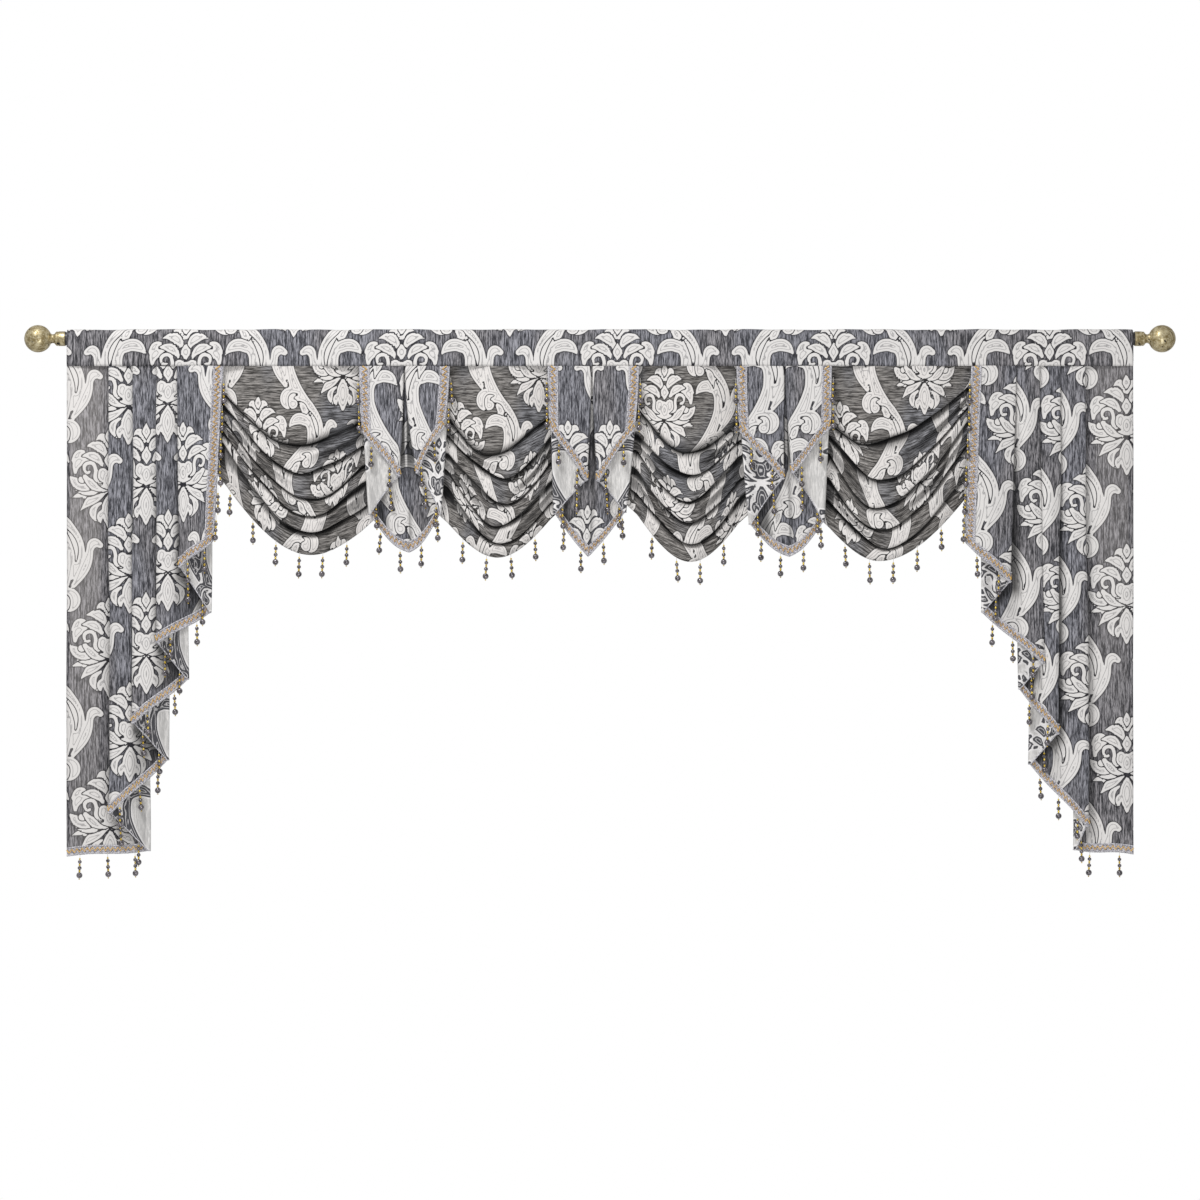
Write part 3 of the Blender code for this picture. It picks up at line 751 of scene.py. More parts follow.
# %% Panel shape
TURN_PARTS = 4  # points round a turn
SMALL_CELL = 2 * MM  # for measuring along a panel
MEASURED_AT = SEAM_Z - 0.2
EDGE_SWAY, SWAY_DROP = 0.35, 0.25  # the edges sway less, and all sway more this far down
BELLY_CHANGE = 0.35  # how much fuller and flatter a run is down its length
HEM_WAVE = 2.5 * MM  # the cut of a run that shows is a little wavy
SIDE_HEM, HEM_LINE = 9 * MM, 2.2 * MM  # a side hem's width, and half its sewn line's
# Painted shades go from 0, in the open, to 1. They are stronger low down than at the seam.
SEAM_SHADE, LOW_SHADE, LOW_DROP = 0.3, 0.85, 0.45
HIDDEN_SHADES = (0.15, 0.65)  # at the start and end of a run that doesn't show
HIDDEN_PARTS = (0.3, 1.0)  # where along it the shade grows from one to the other
LINE_SHADE = 0.5  # on the sewn line of a side hem
GAP_SHADE, GAP_HEIGHTS = 0.9, (-0.36, -0.27)  # where a jabot's front folds part
FACE_SHADE = (-0.06, 0.34)  # how far across a face its shade goes
OUTER_SHADE = 0.4  # what is left of the shade on a tail's outer face
# Painted light on the outer face of the left and right tail, at its top and low down.
OUTER_LIT = ((0.14, 0.07), (0.08, 0.0))
LIGHT_DROPS = (0.35, 1.0)  # metres below the seam
# Painted shade taken off a face of the left and right tail below the cut edge before it.
POCKET_LIT = (0.5, 0.8)
POCKET_DEPTHS = (12 * MM, 50 * MM)


def ease(value, start, end):
    """0 up to start, 1 from end on, smooth between them."""
    t = np.clip((value - start) / (end - start), 0, 1)
    return t * t * (3 - 2 * t)


def below_seam(z):
    return np.maximum(0.0, SEAM_Z - z)


def running_length(points, axis):
    """Lengths added up along an axis of the grid of points."""
    steps = np.linalg.norm(np.diff(points, axis=axis), axis=-1)
    start = np.zeros_like(np.take(steps, [0], axis=axis))
    return np.concatenate([start, np.cumsum(steps, axis=axis)], axis=axis)


class Panel:
    """A cloth folded back and forth, whose fold lines hang almost straight."""

    def __init__(self, folds, faces, lift, bulges, spread, belly, sway, swing):
        folds, faces = [Fold(*row) for row in folds], [Face(*row) for row in faces]
        self.folds = [Fold(*(value * MM for value in fold)) for fold in folds]
        self.spread, self.lift, self.belly, self.sway = spread, lift, belly, sway
        self.swing, self.bulges = swing, bulges
        self.last = 2 * len(folds) - 3
        self.is_tail = len(folds) > len(JABOT_DEPTHS)
        self.on_right = self.folds[0].x_seam > 0
        self.hand = 1 if self.folds[1].x_cut > self.folds[0].x_cut else -1
        self.knots, self.shown = [], {}
        for face in faces:
            first, second = folds[face.run].x_seam, folds[face.run + 1].x_seam
            shown = (face.x_from, face.x_to)
            ends = [2 * face.run + (x - first) / (second - first) for x in shown]
            if face.slope > 0:
                self.shown[face.run] = ends
            for place, x in zip(ends, shown):
                u = face.u_known + face.slope * (x - face.x_known)
                self.knots.append((place, MM * u, MM * face.lower))

    def depth(self, layer, z):
        """Y of a layer of the folded cloth at height z."""
        drop = below_seam(z)
        return FRONT_Y - PANEL_LEAN * drop + layer * (1 + self.spread * drop)

    def line(self, index, z):
        """X of a fold line at height z, with its sway."""
        fold = self.folds[index]
        drop = below_seam(z)
        down = drop / (SEAM_Z - fold.z_cut)
        straight = mix(fold.x_seam, fold.x_cut, down**self.swing)
        wander = np.sin(7.1 * z + 1.9 * index) + 0.5 * np.sin(17.3 * z + 2.7 * index)
        share = EDGE_SWAY if index in (0, len(self.folds) - 1) else 1.0
        return straight + self.sway * share * ease(drop, 0.0, SWAY_DROP) * wander

    def turn_radius(self, index, z):
        fold = self.folds[index]
        return abs(self.depth(fold.leave, z) - self.depth(fold.arrive, z)) / 2

    def side(self, index):
        """The side to which a fold points, 1 for the right."""
        beside = self.folds[index - 1] if index else self.folds[1]
        return 1 if self.folds[index].x_cut > beside.x_cut else -1

    def centre(self, index, z):
        return self.line(index, z) - self.side(index) * self.turn_radius(index, z)

    def stretch(self, place):
        """The run or turn of a place, its fold's or run's index, and the part along it."""
        step = min(int(place), self.last)
        return step, (step + 1) // 2, place - step

    def plan(self, place, z):
        """X and Y of a place at heights z."""
        step, index, part = self.stretch(place)
        if step % 2:
            turn = self.folds[index]
            radius = self.turn_radius(index, z)
            x = self.centre(index, z) + self.side(index) * radius * math.sin(math.pi * part)
            across = (1 - math.cos(math.pi * part)) / 2
            return x, mix(self.depth(turn.arrive, z), self.depth(turn.leave, z), across)
        start, end = self.folds[index], self.folds[index + 1]
        x = mix(self.centre(index, z), self.centre(index + 1, z), part)
        y = mix(self.depth(start.leave, z), self.depth(end.arrive, z), part)
        if index in self.shown:
            first, last = self.shown[index]
            across = float(np.clip((place - first) / (last - first), 0, 1))
            full = 1 + BELLY_CHANGE * np.sin(9.7 * z + 1.3 * index)
            full = self.belly * full * ease(below_seam(z), -0.05, 0.2)
            y = y - full * math.sin(math.pi * across)
        return x, y

    def cut(self, place):
        """Height of the cut at a place."""
        step, index, part = self.stretch(place)
        if step % 2:
            return self.folds[index].z_cut
        curve = self.bulges.get(index, 0.0) * math.sin(math.pi * part)
        if index in self.shown and index not in self.bulges:
            curve = HEM_WAVE * math.sin(2 * math.pi * part)
        return mix(self.folds[index].z_cut, self.folds[index + 1].z_cut, part) - curve

    def points(self, place, z, offset=0.0):
        """Points of the cloth at heights z, standing out from its right side by offset."""
        z = np.asarray(z, float)
        x, y = self.plan(place, z)
        if offset:
            step = 0.02
            x0, y0 = self.plan(max(0.0, place - step), z)
            x1, y1 = self.plan(min(self.last, place + step), z)
            length = np.maximum(np.hypot(x1 - x0, y1 - y0), 1e-9)
            x = x + offset * self.hand * (y1 - y0) / length
            y = y + offset * self.hand * (x0 - x1) / length
        return np.stack([x, y, z], axis=-1)

    def places(self, cell):
        """Places a cell apart along the runs that show, wider in the others, and a few round
        each turn."""
        found = [0.0]
        for index in range(len(self.folds) - 1):
            width = abs(self.folds[index + 1].x_seam - self.folds[index].x_seam)
            wide = cell if index in self.shown else HIDDEN_CELLS * cell
            count = max(2, round(width / wide))
            found += [2 * index + (k + 1) / count for k in range(count)]
            if index < len(self.folds) - 2 and self.turn_radius(index + 1, SEAM_Z) > 0:
                found += [2 * index + 1 + (k + 1) / TURN_PARTS for k in range(TURN_PARTS)]
        return found

    def flat_across(self, places):
        """Where the places are across the flat cloth, with the drawing where it shows."""
        dense = self.places(SMALL_CELL)
        spots = np.array([self.points(place, MEASURED_AT) for place in dense])
        run = running_length(spots, 0)
        spots, across, lower = zip(*self.knots)
        at, wanted = np.interp(spots, dense, run), np.interp(places, dense, run)
        return np.interp(wanted, at, across), np.interp(wanted, at, lower)

    def folded(self, place, z):
        """How much painted shade the cloth gets deep in its folds: dark beside the edge it comes
        out from. A value below 0 is painted light on the cloth instead."""
        step, index, part = self.stretch(place)
        drop = below_seam(z)
        lower = mix(SEAM_SHADE, LOW_SHADE, ease(drop, 0.0, LOW_DROP))
        if step % 2 or index not in self.shown:
            return mix(*HIDDEN_SHADES, float(ease(part, *HIDDEN_PARTS))) * lower
        outer = index == len(self.folds) - 2
        if index == 0 or outer and not self.is_tail:
            return np.zeros_like(z)
        first, last = self.shown[index]
        across = (place - first) / (last - first)
        shade = float(1 - ease(across, *FACE_SHADE)) * lower
        if not self.is_tail:
            return np.maximum(shade, GAP_SHADE * ease(z, *GAP_HEIGHTS))
        open_air = POCKET_LIT[self.on_right] * ease(self.uncovered(place, z), *POCKET_DEPTHS)
        shade = shade * (1 - open_air)
        if outer:
            to_edge = (1 - across) * abs(self.line(index + 1, z) - self.line(index, z))
            shade = np.maximum(shade, LINE_SHADE * (np.abs(to_edge - SIDE_HEM) < HEM_LINE))
            light = mix(*OUTER_LIT[self.on_right], ease(drop, *LIGHT_DROPS))
            shade = OUTER_SHADE * shade - light
        return shade

    def uncovered(self, place, z):
        """How far below the cut edge of the run before it a point of a face is."""
        index = (int(place) + 1) // 2
        edge, turn = self.line(index - 1, z), self.line(index, z)
        part = np.clip((self.plan(place, z)[0] - edge) / (turn - edge), 0, 1)
        return mix(self.folds[index - 1].z_cut, self.folds[index].z_cut, part) - z

    def run_length(self, index):
        start, end = self.folds[index], self.folds[index + 1]
        return math.hypot(end.x_cut - start.x_cut, end.z_cut - start.z_cut)


def panel_sheet(name, panel, cell, materials):
    """The cloth of a panel, cut along its slant."""
    places = panel.places(cell)
    cuts = np.array([panel.cut(place) for place in places])
    rows = math.ceil((SEAM_Z - cuts.min()) / cell)
    hanging = SEAM_Z - cell * np.arange(rows + 1)
    heights = np.concatenate([[SEAM_Z + TUCK, SEAM_Z + TUCK / 2], hanging])
    across, lower = panel.flat_across(places)
    points, flat, folded = [], [], []
    for place, cut, u, down in zip(places, cuts, across, lower):
        z = np.maximum(heights, cut)
        points.append(panel.points(place, z))
        flat.append(np.stack([np.full(len(z), u), z + panel.lift + down], axis=-1))
        folded.append(panel.folded(place, z))
    points, flat, folded = np.array(points), np.array(flat), np.array(folded)
    if panel.hand < 0:
        points, flat, folded = points[::-1], flat[::-1], folded[::-1]
    return cut_sheet(name, points, flat, folded, materials), flat


# %% Tails and jabots
panels = {
    "tail_left": Panel(TAIL_LEFT, TAIL_LEFT_FACES, TAIL_LIFTS[0], {}, **TAIL_SHAPE),
    "tail_right": Panel(TAIL_RIGHT, TAIL_RIGHT_FACES, TAIL_LIFTS[1], {}, **TAIL_SHAPE),
}
for number, rows in enumerate(JABOTS):
    folds = [(x0, x1, *depth, z) for (x0, x1, z), depth in zip(rows, JABOT_DEPTHS)]
    bulges = dict.fromkeys((2, 3), JABOT_BULGES[number])
    panels[f"jabot_{number + 1}"] = Panel(
        folds, JABOT_FACES[number], JABOT_LIFTS[number], bulges, **JABOT_SHAPE
    )

for name, panel in panels.items():
    cloth, flat = panel_sheet(f"{name}_cloth", panel, CELL, (damask, damask_back))
    stand_in(cloth, name)
    print(cloth.name, len(cloth.data.polygons), "faces")

# %% [markdown]
# ## Swags
#
# A swag hangs flat from the seam, and its lower cloth is gathered up at both sides, so that
# it falls in deep curved folds. Down a swag, one number t counts the folds: at each whole
# number the cloth is at the bottom of a fold, tucked up behind the belly above it. A wave in
# height and a wave in depth, a quarter turn apart, make the rounded bellies and the tucks.
# Each fold is deepest near the side from which it is pulled, and dies away past the middle.

# %% Swag tables
# Millimetres: the swag's sides, the place of one flower's middle, and its folds from the
# seam down: a fold's height at the left, its lowest point, its height at the right, and the
# side that pulls it, -1 for the left. The last fold is the hem.
Sag = namedtuple("Sag", "z_left x_low z_low z_right pull")
Swag = namedtuple("Swag", "x_left x_right flower_x flower_z sags")
SWAG_TABLE = (
    (-897, -558, -601, -63, (
        (-102, -722, -249, -193, -1),
        (-130, -699, -310, -247, 1),
        (-163, -671, -377, -298, -1),
        (-188, -673, -412, -338, -1),
        (-222, -676, -452, -390, 1),
        (-312, -673, -506, -450, 0),
    )),
    (-354, -118, -143, -66, (
        (-186, -263, -272, -180, 1),
        (-222, -218, -324, -226, -1),
        (-268, -216, -384, -290, 1),
        (-307, -239, -437, -335, -1),
        (-345, -232, -480, -380, 1),
        (-433, -239, -512, -424, 0),
    )),
    (88, 323, 151, -167, (
        (-160, 204, -268, -195, -1),
        (-222, 207, -317, -235, 1),
        (-262, 200, -378, -276, -1),
        (-306, 207, -428, -326, 1),
        (-356, 216, -478, -375, -1),
        (-412, 211, -522, -433, 0),
    )),
    (538, 885, 757, -73, (
        (-190, 617, -247, -90, 1),
        (-224, 655, -328, -125, 1),
        (-268, 643, -395, -155, -1),
        (-326, 643, -447, -205, 1),
        (-378, 671, -487, -268, -1),
        (-443, 650, -520, -335, 0),
    )),
)
SWAGS = [Swag(*row[:4], [Sag(*sag) for sag in row[4]]) for row in SWAG_TABLE]
BEHIND = 45  # millimetres that a swag goes on behind what is beside it
HIDDEN_RISE = 0.9  # how steeply its hem rises there, and its other folds less
# A fold line hangs round for this share of its half, and almost straight beside it.
ROUND, HEM_ROUND = 0.5, 0.8
SEAT_BACK_Y = 1.6 * MM  # where a swag's sides hang at the seam, behind the other cloths
BACK_LEAN = 21 * MM  # how far they lean back for each metre down
RAMP = 100 * MM  # over this width a swag comes forward
SWAG_FORWARD = (12, 20, 27, 31, 31, 24)  # how far each fold comes forward, in millimetres
print("folds of the swags:", [len(swag.sags) for swag in SWAGS])

# %% Fold lines of a swag


def swag_middle(swag):
    return (swag.x_left + swag.x_right) / 2 * MM


def swag_share(swag, x):
    """How far the swag has come forward at x."""
    return np.clip(np.minimum(x - swag.x_left * MM, swag.x_right * MM - x) / RAMP, 0, 1)


def swell(swag, x):
    """How full the folds are at x: 0 at the sides, 1 in the middle."""
    across = np.clip((x / MM - swag.x_left) / (swag.x_right - swag.x_left), 0, 1)
    return 4 * across * (1 - across)


def sag_height(swag, index, x):
    """Height of a fold line at x."""
    sag = swag.sags[index]
    on_left = x / MM < sag.x_low
    side_x = np.where(on_left, swag.x_left, swag.x_right)
    side_z = np.where(on_left, sag.z_left, sag.z_right)
    reach = np.abs(x / MM - sag.x_low) / np.abs(side_x - sag.x_low)
    beyond = np.maximum(0.0, reach - 1) * np.abs(side_x - sag.x_low)
    rise = HIDDEN_RISE * beyond * index / (len(swag.sags) - 1)
    soft = HEM_ROUND if index == len(swag.sags) - 1 else ROUND
    share = (np.hypot(np.minimum(1.0, reach), soft) - soft) / (math.hypot(1, soft) - soft)
    return MM * (mix(sag.z_low, side_z, share) + rise)


first_middle = np.array([swag_middle(SWAGS[0])])
print("first fold of the first swag:", sag_height(SWAGS[0], 0, first_middle), "m")

# %% Tucks of a swag
# How far a fold's tuck and a short tuck reach up and down, in folds, how deep a tuck is at
# the sides and how much deeper in the middle, and how much cloth it lifts.
TUCK_REACH, SHORT_REACH = 0.16, 0.09
TUCK_DEPTH, TUCK_DEEPER = 22, 12
TUCK_LIFT = 1.7
MOST_GAP = 75 * MM  # folds further apart than this don't lift more
ROOMY = (34 * MM, 55 * MM)  # short tucks need folds this far apart
HEM_TURN = 4 * MM  # how far the hem turns in


def toward_pull(swag, index, x):
    """Where x is between a fold's lowest point, 0, and the side that pulls it, 1."""
    sag = swag.sags[index]
    side = swag.x_right if sag.pull > 0 else swag.x_left
    return (x / MM - sag.x_low) / (side - sag.x_low)


def swag_tucks(swag, x):
    """Each tuck down the swag: its t, how far it reaches up and down, and its strength at x.
    Beside the tucks at the sags, short ones start at the side that pulls."""
    for index in range(len(swag.sags) - 1):
        near = toward_pull(swag, index, x)
        yield index + 1.0, TUCK_REACH, 0.45 + 0.55 * ease(near, -0.7, 0.1)
        if index > 0:
            yield index + 0.52, SHORT_REACH, 0.6 * ease(near, 0.05, 0.55)


def tuck_depth(below, reach):
    """How deep a tuck is: 0 above its line, 1 just below, and soon 0 again."""
    return ease(below, -reach, reach) - ease(below, reach, 3.0 * reach)


def swag_points(swag, x, t):
    """Points at columns x and rows t, from 0 at the seam to the number of sags at the hem."""
    count = len(swag.sags)
    x = x[:, None]
    lines = [np.full((len(x), 1), SEAM_Z)]
    for index in range(count):
        sway = 2.2 * np.sin(31 * x + 2.3 * index) + 1.3 * np.sin(67 * x + 1.1 * index)
        calm = 0 if index == count - 1 else 1
        lines.append(sag_height(swag, index, x) + calm * MM * sway)
    lines = np.concatenate(lines, axis=1)
    step = np.clip(np.floor(t).astype(int), 0, count - 1)
    z = mix(lines[:, step], lines[:, step + 1], (t - step)[None, :])
    full = swell(swag, x)
    out = np.interp(t, range(count + 1), (0, *SWAG_FORWARD))[None, :] * MM * full
    gaps = np.minimum(lines[:, :-1] - lines[:, 1:], MOST_GAP)
    hollow = np.zeros_like(z)
    for place, reach, strength in swag_tucks(swag, x):
        gap = gaps[:, int(place) - 1 : int(place) + 1].min(axis=1, keepdims=True)
        below = (t - place)[None, :]
        window = np.where(np.abs(below) < 3 * reach, 1.0, 0.0)
        lift = np.sin(math.pi * below / (3 * reach)) * window
        z = z + TUCK_LIFT * reach * gap * strength * lift
        roomy = 1.0 if reach == TUCK_REACH else ease(gap, *ROOMY)
        deep = (TUCK_DEPTH + TUCK_DEEPER * full) * MM * (reach / TUCK_REACH) ** 0.5
        hollow = hollow + deep * strength * roomy * tuck_depth(below, reach)
    hollow = hollow + HEM_TURN * full * ease(t, count - 0.25, count)[None, :]
    base = mix(SEAT_BACK_Y + BACK_LEAN * below_seam(z), FRONT_Y, swag_share(swag, x))
    return np.stack([np.broadcast_to(x, z.shape), base - out + hollow, z], axis=-1)


first_hem = np.array([len(SWAGS[0].sags)])
print("its hem:", swag_points(SWAGS[0], first_middle, first_hem)[0, 0], "m")

# %% Painted shade in the tucks
# In reaches of a tuck from its line: where its shade sets in and where it ends.
SHADE_STARTS, SHADE_ENDS = (-0.9, 0.3), (1.5, 2.9)
SHADE_FURTHER = 1.7  # above 1, a tuck is in shade further along than it is deep
BESIDE_TAIL = (0.75, 0.85)  # metres from the middle of the drape


def swag_painted_shade(swag, x, t):
    """Painted shade for how deep in a tuck each point is, most of all where the folds meet
    beside a tail.
    """
    folded = np.zeros((len(x), len(t)))
    side = np.clip(1 - 2.5 * swell(swag, x[:, None]), 0, 1)
    gathered = side * mix(0.25, 1.0, ease(np.abs(x[:, None]), *BESIDE_TAIL))
    for place, reach, strength in swag_tucks(swag, x[:, None]):
        below = (t - place)[None, :] / (reach * (1 + gathered))
        dark = ease(below, *SHADE_STARTS) - ease(below, *SHADE_ENDS)
        if reach == TUCK_REACH:
            strength = SHADE_FURTHER * np.maximum(strength, side)
        folded = np.maximum(folded, np.minimum(1.0, strength) * dark)
    return folded


print("shade starts", SHADE_STARTS, "and ends", SHADE_ENDS)

# %% The swags
SWAG_CELL = 4.3 * MM
FLOWER = (REPEAT_WIDTH / 2, REPEAT_HEIGHT / 2)
SWAG_FINER = (1.28, 1.09)  # the swags' damask is woven smaller
FINE_ROWS = 1200  # for measuring down a swag


def swag_rows(swag):
    """Rows t about a cell apart at the swag's middle, closer in its folds."""
    dense = np.linspace(0, len(swag.sags), FINE_ROWS)
    run = running_length(swag_points(swag, np.array([swag_middle(swag)]), dense)[0], 0)
    count = round(run[-1] / SWAG_CELL)
    return np.interp(np.linspace(0, run[-1], count + 1), run, dense)


def swag_flat(swag, x, t, points):
    """Places on the flat cloth: upright at the top, along the folds below."""
    home = int(np.argmin(np.abs(x - swag_middle(swag))))
    along = running_length(points, 0)
    along = along - along[home] + x[home]
    u = mix(x[:, None], along, ease(t, 0.6, 1.5)[None, :])
    down = running_length(points, 1)
    v = down.copy()
    marks = np.arange(len(swag.sags)) + 0.5
    at = np.array([np.interp(marks, t, column) for column in down])
    spans = np.diff(at, axis=1)
    for index, lost in enumerate((spans[home] - spans).T, 1):
        v += lost[:, None] * ease(t, index - 0.14, index + 0.14)[None, :]
    return np.stack([u - swag.flower_x * MM, SEAM_Z - swag.flower_z * MM - v], axis=-1)


swags = {}
for number, swag in enumerate(SWAGS, 1):
    left, right = (swag.x_left - BEHIND) * MM, (swag.x_right + BEHIND) * MM
    x = np.linspace(left, right, round((right - left) / SWAG_CELL) + 1)
    t = swag_rows(swag)
    points = swag_points(swag, x, t)
    flat = swag_flat(swag, x, t, points)
    folded = swag_painted_shade(swag, x, t)
    folded = np.concatenate([folded[:, :1], folded], axis=1)
    tucked = points[:, :1] + np.array([0, 0, TUCK])
    points = np.concatenate([tucked, points], axis=1)
    flat = np.concatenate([flat[:, :1] + np.array([0, TUCK]), flat], axis=1)
    cloth = cut_sheet(
        f"swag_{number}_cloth", points, flat, folded, (swag_damask, swag_back), FLOWER, SWAG_FINER
    )
    stand_in(cloth, f"swag_{number}")
    swags[f"swag_{number}"] = swag
    print(cloth.name, len(cloth.data.polygons), "faces")

# %% [markdown]
# ## Heading
#
# The heading is one long strip folded over the pole and sewn down to the panels. It starts as
# a grid whose rows go up the front, over the pole and down the back. The lower edge of the
# front is rolled in a little, and the strip is slightly uneven along its top, as a sleeve
# that is pushed onto a pole is.

# %% Heading sheet
HEADING_CELL = 5 * MM
ROLLED_IN, ROLL_HEIGHT = 1.6 * MM, 4 * MM
RIPPLE = 0.5 * MM
OVER_POINTS = 13  # over the pole
HEADING_FLOWER_X = 41 * MM
HEADING_LIFT = 76 * MM
BACK_LIP_ROOM = 2.1 * MM


def heading_profile(x):
    """Points round the sleeve at x, from the front seam over the pole to the back seam."""
    rows = round(-SEAM_Z / HEADING_CELL)
    z = np.linspace(SEAM_Z, 0, rows + 1)[:-1]
    roll = ROLLED_IN * ease(-z, -SEAM_Z - ROLL_HEIGHT, -SEAM_Z)
    ripple = RIPPLE * np.sin(61 * x + 20 * z) * np.sin(math.pi * (z - SEAM_Z) / -SEAM_Z)
    front = np.stack([-SLEEVE_RADIUS + roll + ripple, z], axis=-1)
    angle = np.linspace(-math.pi / 2, math.pi / 2, OVER_POINTS)
    crest = (SLEEVE_TOP - SLEEVE_RADIUS) * np.cos(angle) ** 2
    crest = crest + (0.7 * math.sin(23 * x) + 0.5 * math.sin(57 * x + 1)) * MM * np.cos(angle)
    radius = SLEEVE_RADIUS + crest
    over = np.stack([radius * np.sin(angle), radius * np.cos(angle)], axis=-1)
    share = max(float(swag_share(swag, np.array(x))) for swag in SWAGS)
    lip = mix(SEAT_BACK_Y, FRONT_Y, share) + BACK_LIP_ROOM
    down = np.linspace(0, 1, rows + 1)[1:]
    bend = ease(down, 0.05, 0.85)
    back = np.stack([mix(SLEEVE_RADIUS, lip, bend), SEAM_Z * down], axis=-1)
    return np.concatenate([front, over, back])


xs = np.linspace(-HALF_WIDTH, HALF_WIDTH, round(2 * HALF_WIDTH / HEADING_CELL) + 1)
profiles = np.array([heading_profile(x) for x in xs])[:, ::-1]
along = np.broadcast_to(xs[:, None], profiles.shape[:2])
points = np.dstack([along, profiles])
rise = running_length(points[:, ::-1], 1)[:, ::-1]
flat = np.dstack([along - HEADING_FLOWER_X, rise + SEAM_Z + HEADING_LIFT])
heading = cut_sheet(
    "heading_cloth", points, flat, np.zeros(along.shape), (damask, damask_back)
)
stand_in(heading, "heading")
print("heading:", len(heading.data.polygons), "faces")

# %% [markdown]
# ## Braid and bead strings
#
# The braid is a flat woven band with a thin rope along both edges and a gold thread that
# zigzags between them. Real braid is sewn on, so here the band follows the cloth's own
# points, a little in front of them. The ropes and the gold thread are curves with a round
# bevel, turned into meshes.

# %% Braid materials


def yarn_material(name, dark, light, scale, roughness, sheen):
    """A twisted yarn: flecks of two tones and a fine bump."""
    material, tree, shader = new_material(name)
    flecks = object_noise(tree, (scale, scale, scale * 1.4), 3.0, 0.7)
    tone = blend_colour(tree, step_between(tree, flecks, 0.38, 0.62), dark, light)
    set_inputs(tree, shader, Base_Color=tone, Roughness=roughness, Sheen_Weight=sheen)
    add_bump(tree, shader, flecks, 0.6, 0.4 * MM)
    return material


braid_band = yarn_material(
    "braid_band", (0.085, 0.083, 0.105), (0.66, 0.65, 0.71), 330.0, 0.6, 0.3
)
braid_rope = yarn_material(
    "braid_rope", (0.16, 0.157, 0.18), (0.78, 0.77, 0.81), 380.0, 0.55, 0.3
)
braid_gold = yarn_material(
    "braid_gold", (0.45, 0.25, 0.035), (0.95, 0.62, 0.17), 420.0, 0.45, 0.1
)
print("braid materials:", braid_band.name, braid_rope.name, braid_gold.name)

# %% Braid shapes
BRAID_WIDTH = 22 * MM
BRAID_RISE = 23 * MM
HEM_BRAID_SHARE = 0.8  # the braid of a level hem is narrower
BAND_ROWS = (0.95, 0.5, 0.05)  # where the band's points are across the braid
BAND_OFFSET = 1.5 * MM
BAND_THICKNESS = 0.8 * MM
# Where each rope is across the braid, and how far in front of the cloth. The last covers the
# cut edge, and so it also shows where the cloth is turned back.
ROPES = ((0.04, 2.1 * MM), (0.96, 2.1 * MM), (-0.04, 0.0))
ROPE_RADIUS = 1.5 * MM
GOLD_RADIUS = 1.7 * MM
GOLD_OFFSET = BAND_OFFSET + 1.1 * MM
ZIGZAG = 6 * MM  # length of one slant of the gold thread
ZIGZAG_REACH = 0.23
BRAID_CELL = 3 * MM
EDGE_START = 0.5 * MM  # a free edge's braid starts this far below the seam
OVERLAP = 2 * MM  # how far it goes into the braid of the cut


def curve_piece(name, line, radius, material, sides=1):
    """A round yarn along a line of points, as a mesh."""
    data = bpy.data.curves.new(name, "CURVE")
    data.dimensions = "3D"
    data.bevel_depth = radius
    data.bevel_resolution = sides
    data.use_fill_caps = True
    spline = data.splines.new("POLY")
    spline.points.add(len(line) - 1)
    spline.points.foreach_set("co", np.c_[line, np.ones(len(line))].ravel())
    data.materials.append(material)
    made = bpy.data.objects.new(name, data)
    bpy.context.scene.collection.objects.link(made)
    deselect()
    made.select_set(True)
    bpy.context.view_layer.objects.active = made
    bpy.ops.object.convert(target="MESH")
    return bpy.context.object


def join_pieces(name, pieces):
    """Several objects made one."""
    deselect()
    for piece in pieces:
        piece.select_set(True)
    bpy.context.view_layer.objects.active = pieces[0]
    bpy.ops.object.join()
    joined = bpy.context.object
    joined.name = joined.data.name = name
    return joined


def band_piece(points):
    """The flat band on a grid of points, with a little thickness."""
    piece = grid_piece(points)[0]
    piece.data.materials.append(braid_band)
    thicken(piece, thickness=BAND_THICKNESS)
    return piece


def braid_along(name, place_on, length):
    """Band, ropes and gold thread. place_on(along, across, offset) gives a point of the
    braid, with along from 0 to its length and across from 0 to 1."""
    stations = np.linspace(0, length, max(3, round(length / BRAID_CELL)))
    band = [[place_on(s, across, BAND_OFFSET) for across in BAND_ROWS] for s in stations]
    pieces = [band_piece(np.array(band))]
    for across, offset in ROPES:
        line = [place_on(s, across, offset) for s in stations]
        pieces.append(curve_piece(name, line, ROPE_RADIUS, braid_rope))
    count = max(2, round(length / ZIGZAG))
    line = []
    for k in range(count + 1):
        across = 0.5 + (ZIGZAG_REACH if k % 2 else -ZIGZAG_REACH)
        line.append(place_on(length * k / count, across, GOLD_OFFSET))
    pieces.append(curve_piece(name, line, GOLD_RADIUS, braid_gold))
    return pieces


def cut_braid(name, panel):
    """The braid along a panel's cut."""
    dense = panel.places(BRAID_CELL)
    spots = np.array([panel.points(p, np.array(panel.cut(p)), BAND_OFFSET) for p in dense])
    run = running_length(spots, 0)

    def on_cut(s, across, offset):
        place = float(np.interp(s, run, dense))
        level = np.clip(place - panel.last + 2, 0, 1) * panel.is_tail
        rise = BRAID_RISE * mix(1, HEM_BRAID_SHARE, level)
        return panel.points(place, np.array(panel.cut(place) + rise * across), offset)

    return braid_along(name, on_cut, run[-1])


